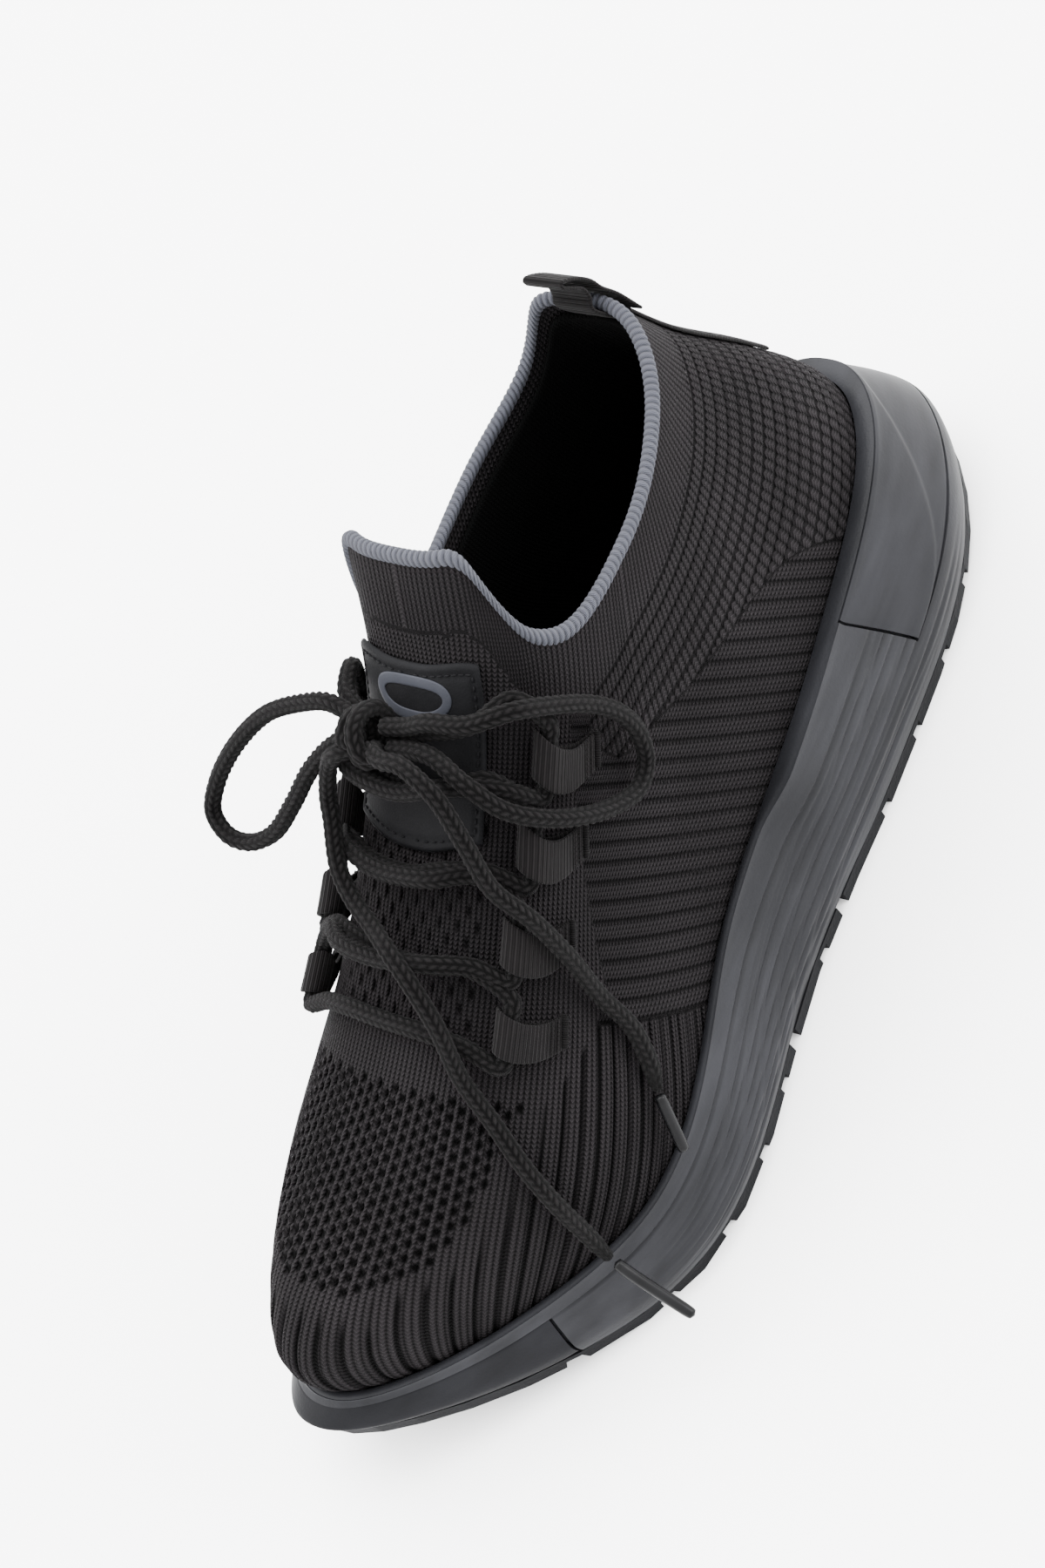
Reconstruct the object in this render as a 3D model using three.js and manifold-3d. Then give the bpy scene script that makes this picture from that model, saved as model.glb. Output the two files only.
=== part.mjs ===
// A left running shoe: a knitted bootie upper on a flared foam sole, held by a round lace through
// eight webbing loops and tied in a bow. Millimetres, +Z up, toe towards -Y, outer side towards +X.
// The origin is on the ground under the middle of the shoe.
import * as THREE from 'three';
import Module from 'manifold-3d';
import { mergeVertices } from 'three/addons/utils/BufferGeometryUtils.js';
import { LoftGeometry } from 'three/addons/geometries/LoftGeometry.js';

// ---------------------------------------------------------------- driving dimensions

const HALF_LENGTH = 151;
const GAP = 0.3;
const AROUND = 48; // points round the sole and the upper

// Sole: [y, value] along the shoe.
const OUTER_HALF_WIDTH = profile([[-151, 43], [-110, 56], [-70, 59.5], [-5, 45], [60, 43.5], [115, 47], [151, 45]]);
const INNER_HALF_WIDTH = profile([[-151, 42.5], [-110, 54], [-70, 59.5], [0, 42], [50, 39], [115, 42], [151, 41]]);
const CENTRE_LINE = profile([[-151, -14.8], [-110, -6.9], [-70, -0.4], [0, 0.1], [151, -1.4]]);
const GROUND_PROFILE = profile([[-151, 20], [-125, 8.5], [-98, 1], [-80, 0], [60, 0], [95, 0.6], [125, 3.5], [151, 9.5]]);
const GROUND_CURVE = (y) => Math.max(GROUND_PROFILE(y), 0); // it never dips below the ground
const RIM_HEIGHT = profile([[-151, 31], [-125, 27], [-90, 25], [-55, 26.5], [0, 35.5], [60, 41], [110, 46.5], [151, 51]]);
const TOE_BLUNTNESS = 2.15;
const HEEL_BLUNTNESS = 2.35;
const OUTSOLE = 4;
const RIM_THICKNESS = 3;
const HEEL_RIM_EXTRA = 2.8;
const WRAP_THICKNESS = 2;

// Upper: the front and back lines of its rings, from the feather line (0) to the top (1).
const RIDGE_Y = profile([[0, -139], [0.1, -143.5], [0.2, -141.5], [0.32, -130], [0.45, -108], [0.6, -78],
  [0.75, -42], [0.88, -8], [1, 17]]);
const RIDGE_Z = profile([[0, 24], [0.1, 34], [0.2, 45], [0.32, 54], [0.45, 62], [0.6, 75],
  [0.75, 95], [0.88, 118], [1, 150]]);
const HEEL_Y = profile([[0, 130], [0.12, 133], [0.28, 131.5], [0.5, 121], [0.75, 107], [1, 97]]);
const HEEL_Z = profile([[0, 31], [0.12, 42], [0.28, 58], [0.5, 82], [0.75, 109], [1, 136]]);
const BED_SAG = 8.5;
const FOOT_MARGIN = 9.5; // how far the upper's foot stands inside the sole's widest line
const COLLAR_HALF_WIDTH = profile([[-40, 29], [25, 27.5], [60, 28], [100, 24]]);
const COLLAR_BLUNTNESS = 3;
// Where the collar line cuts the rings, by degrees from the heel: heel, ankle, dip, tongue.
const COLLAR_OUTER = profile([[0, 0.97], [30, 0.93], [60, 0.875], [92, 0.85], [122, 0.905], [146, 0.985], [158, 1], [180, 1]]);
const COLLAR_INNER = profile([[0, 0.97], [25, 0.985], [52, 0.86], [75, 0.83], [100, 0.835], [124, 0.9], [146, 0.985], [158, 1], [180, 1]]);
const KNIT = 1.8;
const COLLAR_KNIT = 1.3;
const LINING_DEPTH = 3.6;
const LINING = 1.2;
const BINDING_RADIUS = 1.3;

// ---------------------------------------------------------------- small helpers

// A smooth curve through [position, value] pairs, as a function of position.
function profile(pairs) {
  const slopes = pairs.map((pair, i) => {
    const before = pairs[Math.max(i - 1, 0)];
    const after = pairs[Math.min(i + 1, pairs.length - 1)];
    return (after[1] - before[1]) / (after[0] - before[0]);
  });
  return (position) => {
    const last = pairs.length - 2;
    const found = pairs.findIndex((pair, i) => i > 0 && position <= pair[0]) - 1;
    const i = position <= pairs[0][0] ? 0 : found < 0 ? last : found;
    const [x0, v0] = pairs[i];
    const [x1, v1] = pairs[i + 1];
    const span = x1 - x0;
    const t = THREE.MathUtils.clamp((position - x0) / span, 0, 1);
    const rise = v1 - v0;
    const a = slopes[i] * span - rise;
    const b = rise - slopes[i + 1] * span;
    return v0 + rise * t + t * (1 - t) * ((1 - t) * a + t * b);
  };
}

const { lerp, smoothstep, degToRad } = THREE.MathUtils;

// The sole's extra outward flare beside the heel, which the upper doesn't follow.
const heelFlare = (y) => 3 * smoothstep(y, 20, 110);

// One point of a ring that runs from the heel (0) round the outer side to the toe (180 degrees).
function ringPoint(angle, ring) {
  const c = Math.cos(angle);
  const s = Math.sin(angle);
  const power = 2 / (c > 0 ? ring.heelBluntness : ring.toeBluntness);
  const along = Math.sign(c) * Math.abs(c) ** power;
  const y = (ring.front + ring.rear) / 2 + (along * (ring.rear - ring.front)) / 2;
  const half = s >= 0 ? ring.outer(y) : ring.inner(y);
  const x = CENTRE_LINE(y) * ring.skew + Math.sign(s) * half * Math.abs(s) ** power;
  return new THREE.Vector3(x, y, ring.height(y, (1 + along) / 2));
}

// The sole's widest line.
function soleEdge(angle) {
  return ringPoint(angle, {
    front: -HALF_LENGTH,
    rear: HALF_LENGTH,
    heelBluntness: HEEL_BLUNTNESS,
    toeBluntness: TOE_BLUNTNESS,
    outer: OUTER_HALF_WIDTH,
    inner: INNER_HALF_WIDTH,
    skew: 1,
    height: GROUND_CURVE,
  });
}

// A point of the upper's outer face at a ring level from 0 (feather line) to 1 (top).
function upperFace(angle, level) {
  const narrowing = smoothstep(level, 0.12, 1);
  return ringPoint(angle, {
    front: RIDGE_Y(level),
    rear: HEEL_Y(level),
    heelBluntness: HEEL_BLUNTNESS,
    toeBluntness: lerp(TOE_BLUNTNESS, COLLAR_BLUNTNESS, level * level),
    outer: (y) => lerp(OUTER_HALF_WIDTH(y) - FOOT_MARGIN - heelFlare(y), COLLAR_HALF_WIDTH(y), narrowing),
    inner: (y) => lerp(INNER_HALF_WIDTH(y) - FOOT_MARGIN, COLLAR_HALF_WIDTH(y), narrowing),
    skew: lerp(1, 0.6, level),
    height: (y, q) => {
      const sag = BED_SAG * (1 - level) ** 2 * 6.75 * q * (1 - q) ** 2;
      return lerp(RIDGE_Z(level), HEEL_Z(level), q) - sag;
    },
  });
}

function collarLevel(angle) {
  const degrees = THREE.MathUtils.radToDeg(Math.atan2(Math.sin(angle), Math.cos(angle)));
  return degrees < 0 ? COLLAR_INNER(-degrees) : COLLAR_OUTER(degrees);
}

// A point at height 0 to 1 between the feather line and the collar line, moved inwards by depth.
function shell(angle, height, depth = 0) {
  const level = height * collarLevel(angle);
  const step = 0.004;
  const low = Math.max(level - step, 0);
  const point = upperFace(angle, level);
  if (depth === 0) return point;
  const across = upperFace(angle + step, level).sub(upperFace(angle - step, level));
  const up = upperFace(angle, low + 2 * step).sub(upperFace(angle, low));
  const inwards = across.cross(up).normalize();
  return point.addScaledVector(inwards, depth);
}

// A body made of closed rings, each one joined to the next and the last one to the first.
function ringBody(rings) {
  return new LoftGeometry([...rings, rings[0]]);
}

// Angles round the shoe, in the order that turns a climbing loft's faces outwards.
const RING_STEP = (2 * Math.PI) / AROUND;
const ANGLES = Array.from({ length: AROUND }, (_, i) => -RING_STEP * i);

// The ring's angles from one numbered place to another, counted round the outer side from the heel.
const arc = (from, to) => Array.from({ length: to - from + 1 }, (_, i) => RING_STEP * (from + i));

const ringOf = (place) => ANGLES.map((angle) => place(angle));

// The same ring drawn in to the shoe's centre line, which closes a face without a cap.
const spineOf = (place) => ANGLES.map((angle) => place(angle).add(place(-angle)).multiplyScalar(0.5));

// A closed plate between an under face and an upper face, each given by its edge.
function plate(under, over) {
  return new LoftGeometry([spineOf(under), ringOf(under), ringOf(over), spineOf(over)]);
}

// A curved panel over part of the shoe, between an outer face and an inner face. Each end is
// closed by a section whose two faces meet at mid-thickness.
function panel(angles, heights, outside, inside) {
  const section = (angle, shareOut, shareIn) => {
    const out = heights.map((height) => outside(angle, height));
    const back = heights.map((height) => inside(angle, height));
    const outer = out.map((point, i) => point.clone().lerp(back[i], shareOut));
    const inner = back.map((point, i) => point.clone().lerp(out[i], shareIn));
    return [...outer, ...inner.toReversed()];
  };
  return new LoftGeometry([
    section(angles[0], 0.5, 0.5),
    ...angles.map((angle) => section(angle, 0, 0)),
    section(angles[angles.length - 1], 0.5, 0.5),
  ]);
}

const steps = (from, to, count) => Array.from({ length: count + 1 }, (_, i) => lerp(from, to, i / count));

// ---------------------------------------------------------------- joining and cutting

const wasm = await Module();
wasm.setup();

function toSolid(geometry) {
  const bare = geometry.clone();
  bare.deleteAttribute('normal');
  bare.deleteAttribute('uv');
  const merged = mergeVertices(bare, 1e-4);
  return new wasm.Manifold(new wasm.Mesh({
    numProp: 3,
    vertProperties: new Float32Array(merged.attributes.position.array),
    triVerts: new Uint32Array(merged.index.array),
  }));
}

function toGeometry(solid) {
  const mesh = solid.getMesh();
  const geometry = new THREE.BufferGeometry();
  geometry.setAttribute('position', new THREE.BufferAttribute(mesh.vertProperties, 3));
  geometry.setIndex(new THREE.BufferAttribute(mesh.triVerts, 1));
  return geometry;
}

// ---------------------------------------------------------------- the assembly

const FOAM = 0x2a2d32;
const OUTSOLE_RUBBER = 0x191a1c;
const CLIP_PLASTIC = 0x3a3f47;
const KNIT_BLACK = 0x17171a;
const LINING_BLACK = 0x101012;
const BINDING_GREY = 0x5b6270;
const WEBBING_BLACK = 0x1b1b1d;
const LACE_CHARCOAL = 0x232326;
const PATCH_BLACK = 0x141416;
const BOARD_GREY = 0x8a8a86;

const shoe = new THREE.Group();

function addPiece(name, geometry, colour, roughness = 0.8, metalness = 0) {
  const material = new THREE.MeshStandardMaterial({ color: colour, roughness, metalness });
  const mesh = new THREE.Mesh(geometry, material);
  mesh.name = name;
  shoe.add(mesh);
  return mesh;
}

// ---------------------------------------------------------------- sole

const CLIP_REACH = 8; // ring places each side of the heel
const BUMPER_REACH = 6; // ring places each side of the toe
const WRAP_GAP = 0.5;
const WRAP_LOW = 0.3; // share of the side's height where the heel clip starts
const CLIP_HIGH = 0.98;
const BUMPER_HIGH = 0.8;

// 1 behind a wrap centred on an angle, falling to 0 outside it.
function behindWrap(angle, centre, reach) {
  const places = Math.abs(Math.atan2(Math.sin(angle - centre), Math.cos(angle - centre))) / RING_STEP;
  return 1 - smoothstep(places, reach + 0.3, reach + 1.2);
}

// The ring level where the upper's face passes a height below the rim.
function rimLevel(angle) {
  let low = 0;
  let high = 0.5;
  for (let i = 0; i < 16; i++) {
    const middle = (low + high) / 2;
    const point = upperFace(angle, middle);
    if (point.z < RIM_HEIGHT(point.y) - 1) low = middle;
    else high = middle;
  }
  return low;
}

// The horizontal direction out of a ring at an angle.
function outOf(place, angle) {
  const ahead = place(angle + 0.01).sub(place(angle - 0.01));
  return new THREE.Vector3(-ahead.y, ahead.x, 0).normalize();
}

// The rim's top outer edge.
function rimEdge(angle) {
  const level = rimLevel(angle);
  const face = (a) => upperFace(a, level);
  const thickness = RIM_THICKNESS + HEEL_RIM_EXTRA * behindWrap(angle, 0, CLIP_REACH + 2);
  const point = face(angle).addScaledVector(outOf(face, angle), thickness);
  point.z = RIM_HEIGHT(point.y);
  return point;
}

// How far the side has come in from the widest line to the rim, by its share of the height.
const SIDE_SWEEP = profile([[0, 0.14], [0.1, 0.03], [0.25, 0], [0.5, 0.3], [0.8, 0.74], [0.94, 0.95], [1, 1]]);

function soleSide(angle, share, depth = 0) {
  const edge = soleEdge(angle);
  const rim = rimEdge(angle);
  const point = edge.clone().lerp(rim, SIDE_SWEEP(share));
  point.z = lerp(edge.z + OUTSOLE + GAP, rim.z, share);
  return point.addScaledVector(outOf(soleEdge, angle), -depth);
}

// The midsole's side, stepped back behind the heel clip and the toe bumper.
function midsoleSide(angle, share) {
  const clip = behindWrap(angle, 0, CLIP_REACH) * (share >= WRAP_LOW ? 1 : 0);
  const bumper = behindWrap(angle, Math.PI, BUMPER_REACH) * (share <= BUMPER_HIGH ? 1 : 0);
  return soleSide(angle, share, (WRAP_THICKNESS + WRAP_GAP) * Math.max(clip, bumper));
}

// The cup that the upper's foot stands in, a gap outside the upper's face.
function cupWall(angle, share) {
  const level = rimLevel(angle) * share;
  const face = (a) => upperFace(a, level);
  const point = face(angle).addScaledVector(outOf(face, angle), GAP);
  point.z -= share === 0 ? GAP : 0;
  return point;
}

function rimTop(angle) {
  const point = cupWall(angle, 1).lerp(rimEdge(angle), 0.35);
  point.z = rimEdge(angle).z + 0.2;
  return point;
}

function makeMidsole() {
  const bottom = (angle) => midsoleSide(angle, 0);
  const bed = (angle) => cupWall(angle, 0);
  const side = [0.1, 0.25, 0.299, 0.301, 0.5, 0.65, 0.799, 0.801, 0.94, 1];
  return new LoftGeometry([
    spineOf(bottom),
    ringOf(bottom),
    ...side.map((share) => ringOf((angle) => midsoleSide(angle, share))),
    ringOf(rimTop),
    ringOf((angle) => cupWall(angle, 1)),
    ringOf((angle) => cupWall(angle, 0.5)),
    ringOf(bed),
    spineOf(bed),
  ]);
}
addPiece('midsole', makeMidsole(), FOAM, 0.55);

// ---------------------------------------------------------------- upper

const UPPER_HEIGHTS = [0, 0.1, 0.2, 0.3, 0.4, 0.5, 0.6, 0.7, 0.76, 0.82, 0.88, 0.94, 1];

const knitDepth = (height) => lerp(KNIT, COLLAR_KNIT, height);

function makeUpper() {
  const outside = UPPER_HEIGHTS.map((height) => ringOf((angle) => shell(angle, height)));
  const inside = UPPER_HEIGHTS.toReversed().map((height) =>
    ringOf((angle) => shell(angle, height, knitDepth(height))));
  return ringBody([...outside, ...inside]);
}
addPiece('upper', makeUpper(), KNIT_BLACK, 0.95);

// ---------------------------------------------------------------- outsole and wraps

const groundEdge = (angle, share, rise) => {
  const point = soleEdge(angle).lerp(rimEdge(angle), share);
  point.z = GROUND_CURVE(point.y) + rise;
  return point;
};

const GROOVE_DEPTH = 2.4;
const TALL = 120; // taller and wider than the shoe, for blocks that cut right through

// A block that cuts a groove up into the ground face at a place along the shoe.
function groove(x, y, length, width, turn) {
  const slope = Math.atan((GROUND_CURVE(y + 2) - GROUND_CURVE(y - 2)) / 4);
  return toSolid(new THREE.BoxGeometry(length, width, 2 * GROOVE_DEPTH)
    .rotateZ(turn).rotateX(slope).translate(x, y, GROUND_CURVE(y)));
}

// One tread pod: the part of the ground plate between two places, with chevron grooves.
function treadPod(from, to, grooveStations, middleWidth, middleLength) {
  const whole = toSolid(plate((angle) => groundEdge(angle, 0.2, 0), (angle) => groundEdge(angle, 0.14, OUTSOLE)));
  const length = to - from;
  const block = toSolid(new THREE.BoxGeometry(2 * TALL, length, TALL).translate(0, from + length / 2, 0));
  let pod = whole.intersect(block);
  for (const y of grooveStations) {
    for (const side of [-1, 1]) pod = pod.subtract(groove(CENTRE_LINE(y) + side * 34, y + 4, 60, 4, side * 0.22));
  }
  const middle = grooveStations[grooveStations.length - 1];
  return toGeometry(pod.subtract(groove(CENTRE_LINE(middle), middle - middleLength / 2, middleWidth, middleLength, 0)));
}

addPiece('outsole_forefoot', treadPod(-HALF_LENGTH, -22, [-116, -96, -76, -56, -38], 5, 58), OUTSOLE_RUBBER, 0.7);
addPiece('outsole_midfoot', treadPod(-18, 14, [-3], 8, 18), OUTSOLE_RUBBER, 0.7);
addPiece('outsole_heel', treadPod(18, HALF_LENGTH, [38, 60, 82, 104], 14, 62), OUTSOLE_RUBBER, 0.7);

function makeHeelClip() {
  const face = (depth) => (angle, share) =>
    soleSide(angle, lerp(WRAP_LOW + 0.03, CLIP_HIGH, share), depth);
  return panel(arc(-CLIP_REACH, CLIP_REACH), steps(0, 1, 6), face(0), face(WRAP_THICKNESS));
}
addPiece('heel_clip', makeHeelClip(), CLIP_PLASTIC, 0.35);

function makeToeBumper() {
  const face = (depth) => (angle, share) => soleSide(angle, share, depth);
  const middle = AROUND / 2;
  return panel(arc(middle - BUMPER_REACH, middle + BUMPER_REACH), [0.04, 0.1, 0.25, 0.5, 0.77],
    face(0), face(WRAP_THICKNESS));
}
addPiece('toe_bumper', makeToeBumper(), OUTSOLE_RUBBER, 0.45);

// ---------------------------------------------------------------- inside the shoe

const LINING_HEIGHTS = [0.04, 0.2, 0.4, 0.6, 0.7, 0.82, 0.88, 0.96];

// The lining hangs clear of the stiffeners at the foot and meets the knit near the collar.
const liningDepth = (height) => lerp(LINING_DEPTH, COLLAR_KNIT + 1.4, smoothstep(height, 0.6, 0.9));

function makeLining() {
  const outside = LINING_HEIGHTS.map((height) =>
    ringOf((angle) => shell(angle, height, liningDepth(height))));
  const inside = LINING_HEIGHTS.toReversed().map((height) =>
    ringOf((angle) => shell(angle, height, liningDepth(height) + LINING)));
  return ringBody([...outside, ...inside]);
}
addPiece('lining', makeLining(), LINING_BLACK, 0.95);

// A stiffener between the knit and the lining, round the heel or the toe.
function stiffener(from, to, heights, thickness) {
  const outer = KNIT + 2 * GAP;
  return panel(arc(from, to), heights,
    (angle, height) => shell(angle, height, outer),
    (angle, height) => shell(angle, height, outer + thickness));
}
addPiece('heel_counter', stiffener(-8, 8, [0.05, 0.1, 0.2, 0.3, 0.4], 1), BOARD_GREY, 0.6);
addPiece('toe_puff', stiffener(20, 28, [0.05, 0.1, 0.2, 0.28], 0.8), BOARD_GREY, 0.6);

// The edge of a flat board that lies on the bed inside the upper.
const boardEdge = (depth, rise) => (angle) => {
  const face = (a) => upperFace(a, 0);
  const point = face(angle).addScaledVector(outOf(face, angle), -depth);
  point.z += rise;
  return point;
};
addPiece('strobel_board', plate(boardEdge(2.3, 0), boardEdge(2.3, 1.5)), BOARD_GREY, 0.9);
addPiece('insole', plate(boardEdge(7, 1.8), boardEdge(6.2, 6)), LINING_BLACK, 0.9);

// ---------------------------------------------------------------- collar and heel trim

// Which way the upper's face climbs at its edge.
function climb(angle, height) {
  return shell(angle, height).sub(shell(angle, height - 0.03)).normalize();
}

function makeBinding() {
  const reach = BINDING_RADIUS + GAP;
  const sections = ANGLES.map((angle) => {
    const up = climb(angle, 1);
    const inwards = shell(angle, 1, 1).sub(shell(angle, 1)).normalize();
    const centre = shell(angle, 1, COLLAR_KNIT / 2).addScaledVector(up, reach);
    return Array.from({ length: 8 }, (_, i) => {
      const turn = (-i * Math.PI) / 4;
      return centre.clone()
        .addScaledVector(up, BINDING_RADIUS * Math.cos(turn))
        .addScaledVector(inwards, BINDING_RADIUS * Math.sin(turn));
    });
  });
  return new LoftGeometry([...sections, sections[0]]);
}
addPiece('collar_binding', makeBinding(), BINDING_GREY, 0.85);

const TAB_HALF_WIDTH = 6;
const TAPE_THICKNESS = 1;

// Tape sewn up the back seam, from the heel clip to under the pull tab.
function makeSeamTape() {
  const halfWidth = (angle, height) => lerp(TAB_HALF_WIDTH - 2, TAB_HALF_WIDTH, height);
  const face = (depth) => (side, height) => {
    const point = shell(0, height, -depth);
    point.x += side * halfWidth(0, height);
    point.y -= 0.5 * side * side;
    return point;
  };
  return panel([-1, 0, 1], steps(0.45, 0.93, 6), face(GAP + 0.5 + TAPE_THICKNESS), face(GAP + 0.5));
}
addPiece('back_seam_tape', makeSeamTape(), WEBBING_BLACK, 0.9);

// Webbing loop that stands on the collar's back edge and leans forward over the opening.
function makePullTab() {
  const root = shell(0, 1, COLLAR_KNIT / 2).addScaledVector(climb(0, 1), 2 * (BINDING_RADIUS + GAP) + 1.2);
  const outline = new THREE.Shape();
  outline.moveTo(3, 0.2);
  outline.quadraticCurveTo(1.6, 8, -4.2, 12.8);
  outline.quadraticCurveTo(-6, 13.4, -5.8, 11.6);
  outline.quadraticCurveTo(-3.6, 5, -3.4, 0.2);
  const hole = new THREE.Path();
  hole.moveTo(1.6, 1.4);
  hole.quadraticCurveTo(0, 7.4, -4.6, 11.4);
  hole.quadraticCurveTo(-2.4, 5, -2.2, 1.4);
  outline.holes.push(hole);
  const tab = new THREE.ExtrudeGeometry(outline, {
    depth: 2 * TAB_HALF_WIDTH, bevelEnabled: false, curveSegments: 6,
  });
  const sideways = new THREE.Matrix4().makeBasis(
    new THREE.Vector3(0, 1, 0), new THREE.Vector3(0, 0, 1), new THREE.Vector3(1, 0, 0));
  return tab.applyMatrix4(sideways).translate(root.x - TAB_HALF_WIDTH, root.y, root.z);
}
addPiece('pull_tab', makePullTab(), WEBBING_BLACK, 0.9);

// ---------------------------------------------------------------- tongue patch

const PATCH_HEIGHTS = [0.795, 0.82, 0.88, 0.93];
const PATCH_LIFT = 0.8;
const PATCH_THICKNESS = 1.1;

function makePatch() {
  return panel(arc(20, 28), PATCH_HEIGHTS,
    (angle, height) => shell(angle, height, -PATCH_LIFT - PATCH_THICKNESS),
    (angle, height) => shell(angle, height, -PATCH_LIFT));
}
addPiece('tongue_patch', makePatch(), PATCH_BLACK, 0.5);

// Puts a flat shape's points on the upper: x across from an angle, y up the shoe, z out of it.
function layOn(geometry, angleAt, heightAt, lift) {
  const points = geometry.attributes.position;
  for (let i = 0; i < points.count; i++) {
    const [x, y, z] = [points.getX(i), points.getY(i), points.getZ(i)];
    const placed = shell(angleAt(x, y), heightAt(x, y), -(lift + z));
    points.setXYZ(i, placed.x, placed.y, placed.z);
  }
  return geometry;
}

// A plain raised oval ring, the only mark on the patch.
function makeMark() {
  const outline = new THREE.Shape().absellipse(0, 0, 9, 5, 0, 2 * Math.PI);
  outline.holes.push(new THREE.Path().absellipse(0, 0, 6.4, 2.6, 0, 2 * Math.PI));
  const ring = new THREE.ExtrudeGeometry(outline, { depth: 0.5, bevelEnabled: false, curveSegments: 12 });
  const middle = degToRad(179);
  return layOn(ring, (x) => middle - degToRad(1.62) * x, (x, y) => 0.905 + 0.0034 * y,
    PATCH_LIFT + PATCH_THICKNESS + 2 * GAP);
}
addPiece('patch_mark', makeMark(), BINDING_GREY, 0.6);

// ---------------------------------------------------------------- lace loops

const LACE_RADIUS = 2.2;
const LOOP_WIDTH = 9.5;
const LOOP_LENGTH = 16;
const WEB = 1;
const EYE_RADIUS = LACE_RADIUS + 0.7;
const EYE_AT = 12.3; // along the loop from its sewn end
const LOOP_LIFT = 0.9;
// Each loop's throat end and sewn end on the upper: [angle, height, angle, height], toe to tongue.
const LOOP_PLACES = [
  [142.7, 0.638, 121.4, 0.562],
  [141.4, 0.722, 116.6, 0.668],
  [136.2, 0.812, 109.5, 0.761],
  [130.5, 0.897, 103, 0.848],
];
const THROAT_TURN = -0.1; // degrees and height share of one millimetre up the throat
const THROAT_CLIMB = 0.0048;

// A point over the upper at a loop: along it, up the throat from its middle, and out of the knit.
function atLoop(place, side, along, up, out) {
  const share = along / LOOP_LENGTH;
  const angle = lerp(place[2], place[0], share) + THROAT_TURN * up;
  const height = lerp(place[3], place[1], share) + THROAT_CLIMB * up;
  return shell(side * degToRad(angle), height, -out);
}

function makeLoop(place, side) {
  const outline = new THREE.Shape();
  const eyeHeight = EYE_RADIUS + WEB;
  outline.moveTo(0, 0);
  outline.lineTo(EYE_AT, 0);
  outline.absarc(EYE_AT, eyeHeight, EYE_RADIUS + WEB, -Math.PI / 2, Math.PI * 0.72, false);
  outline.lineTo(6.2, 2 * WEB);
  outline.lineTo(0, 2 * WEB);
  outline.holes.push(new THREE.Path().absarc(EYE_AT, eyeHeight, EYE_RADIUS, 0, 2 * Math.PI, true));
  const loop = new THREE.ExtrudeGeometry(outline, { depth: LOOP_WIDTH, bevelEnabled: false, curveSegments: 7 });
  const points = loop.attributes.position;
  for (let i = 0; i < points.count; i++) {
    const up = side * (points.getZ(i) - LOOP_WIDTH / 2);
    const placed = atLoop(place, side, points.getX(i), up, LOOP_LIFT + points.getY(i));
    points.setXYZ(i, placed.x, placed.y, placed.z);
  }
  return loop;
}
LOOP_PLACES.forEach((place, i) => {
  addPiece(`lace_loop_outer_${i + 1}`, makeLoop(place, 1), WEBBING_BLACK, 0.9);
  addPiece(`lace_loop_inner_${i + 1}`, makeLoop(place, -1), WEBBING_BLACK, 0.9);
});

// ---------------------------------------------------------------- lace

// A curve whose evenly spaced places fall on its own points, so that a cord bends just where told.
class Route extends THREE.CatmullRomCurve3 {
  getUtoTmapping(share) {
    return share;
  }
}

function cord(points, stepsPerSpan, radius = LACE_RADIUS, sides = 8) {
  const path = new Route(points, false, 'centripetal');
  const section = new THREE.Shape(Array.from({ length: sides }, (_, i) => {
    const turn = (2 * Math.PI * (i + 0.5)) / sides;
    return new THREE.Vector2(radius * Math.cos(turn), radius * Math.sin(turn));
  }));
  return new THREE.ExtrudeGeometry(section, { steps: stepsPerSpan * (points.length - 1), extrudePath: path });
}

const EYE_OUT = LOOP_LIFT + WEB + EYE_RADIUS;
const EYE_REACH = 7; // how far past the middle of a loop the lace still runs along its eye
// Each place along the lace in a loop's eye: up the throat, and its shift towards the throat.
const EYE_RUN = [[-EYE_REACH, 1], [-4.9, 0], [0, 0], [4.9, 0], [EYE_REACH + 1.1, 0]];
const throughEye = (row, side) => EYE_RUN.map(([up, shift]) =>
  atLoop(LOOP_PLACES[row], side, EYE_AT + shift, up, EYE_OUT));

// The upper's angle and height where the lace leaves a loop's eye.
function eyeExit(row, up) {
  const [throatAngle, throatHeight, sewnAngle, sewnHeight] = LOOP_PLACES[row];
  const share = EYE_AT / LOOP_LENGTH;
  return [lerp(sewnAngle, throatAngle, share) + THROAT_TURN * up, lerp(sewnHeight, throatHeight, share) + THROAT_CLIMB * up];
}

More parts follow.
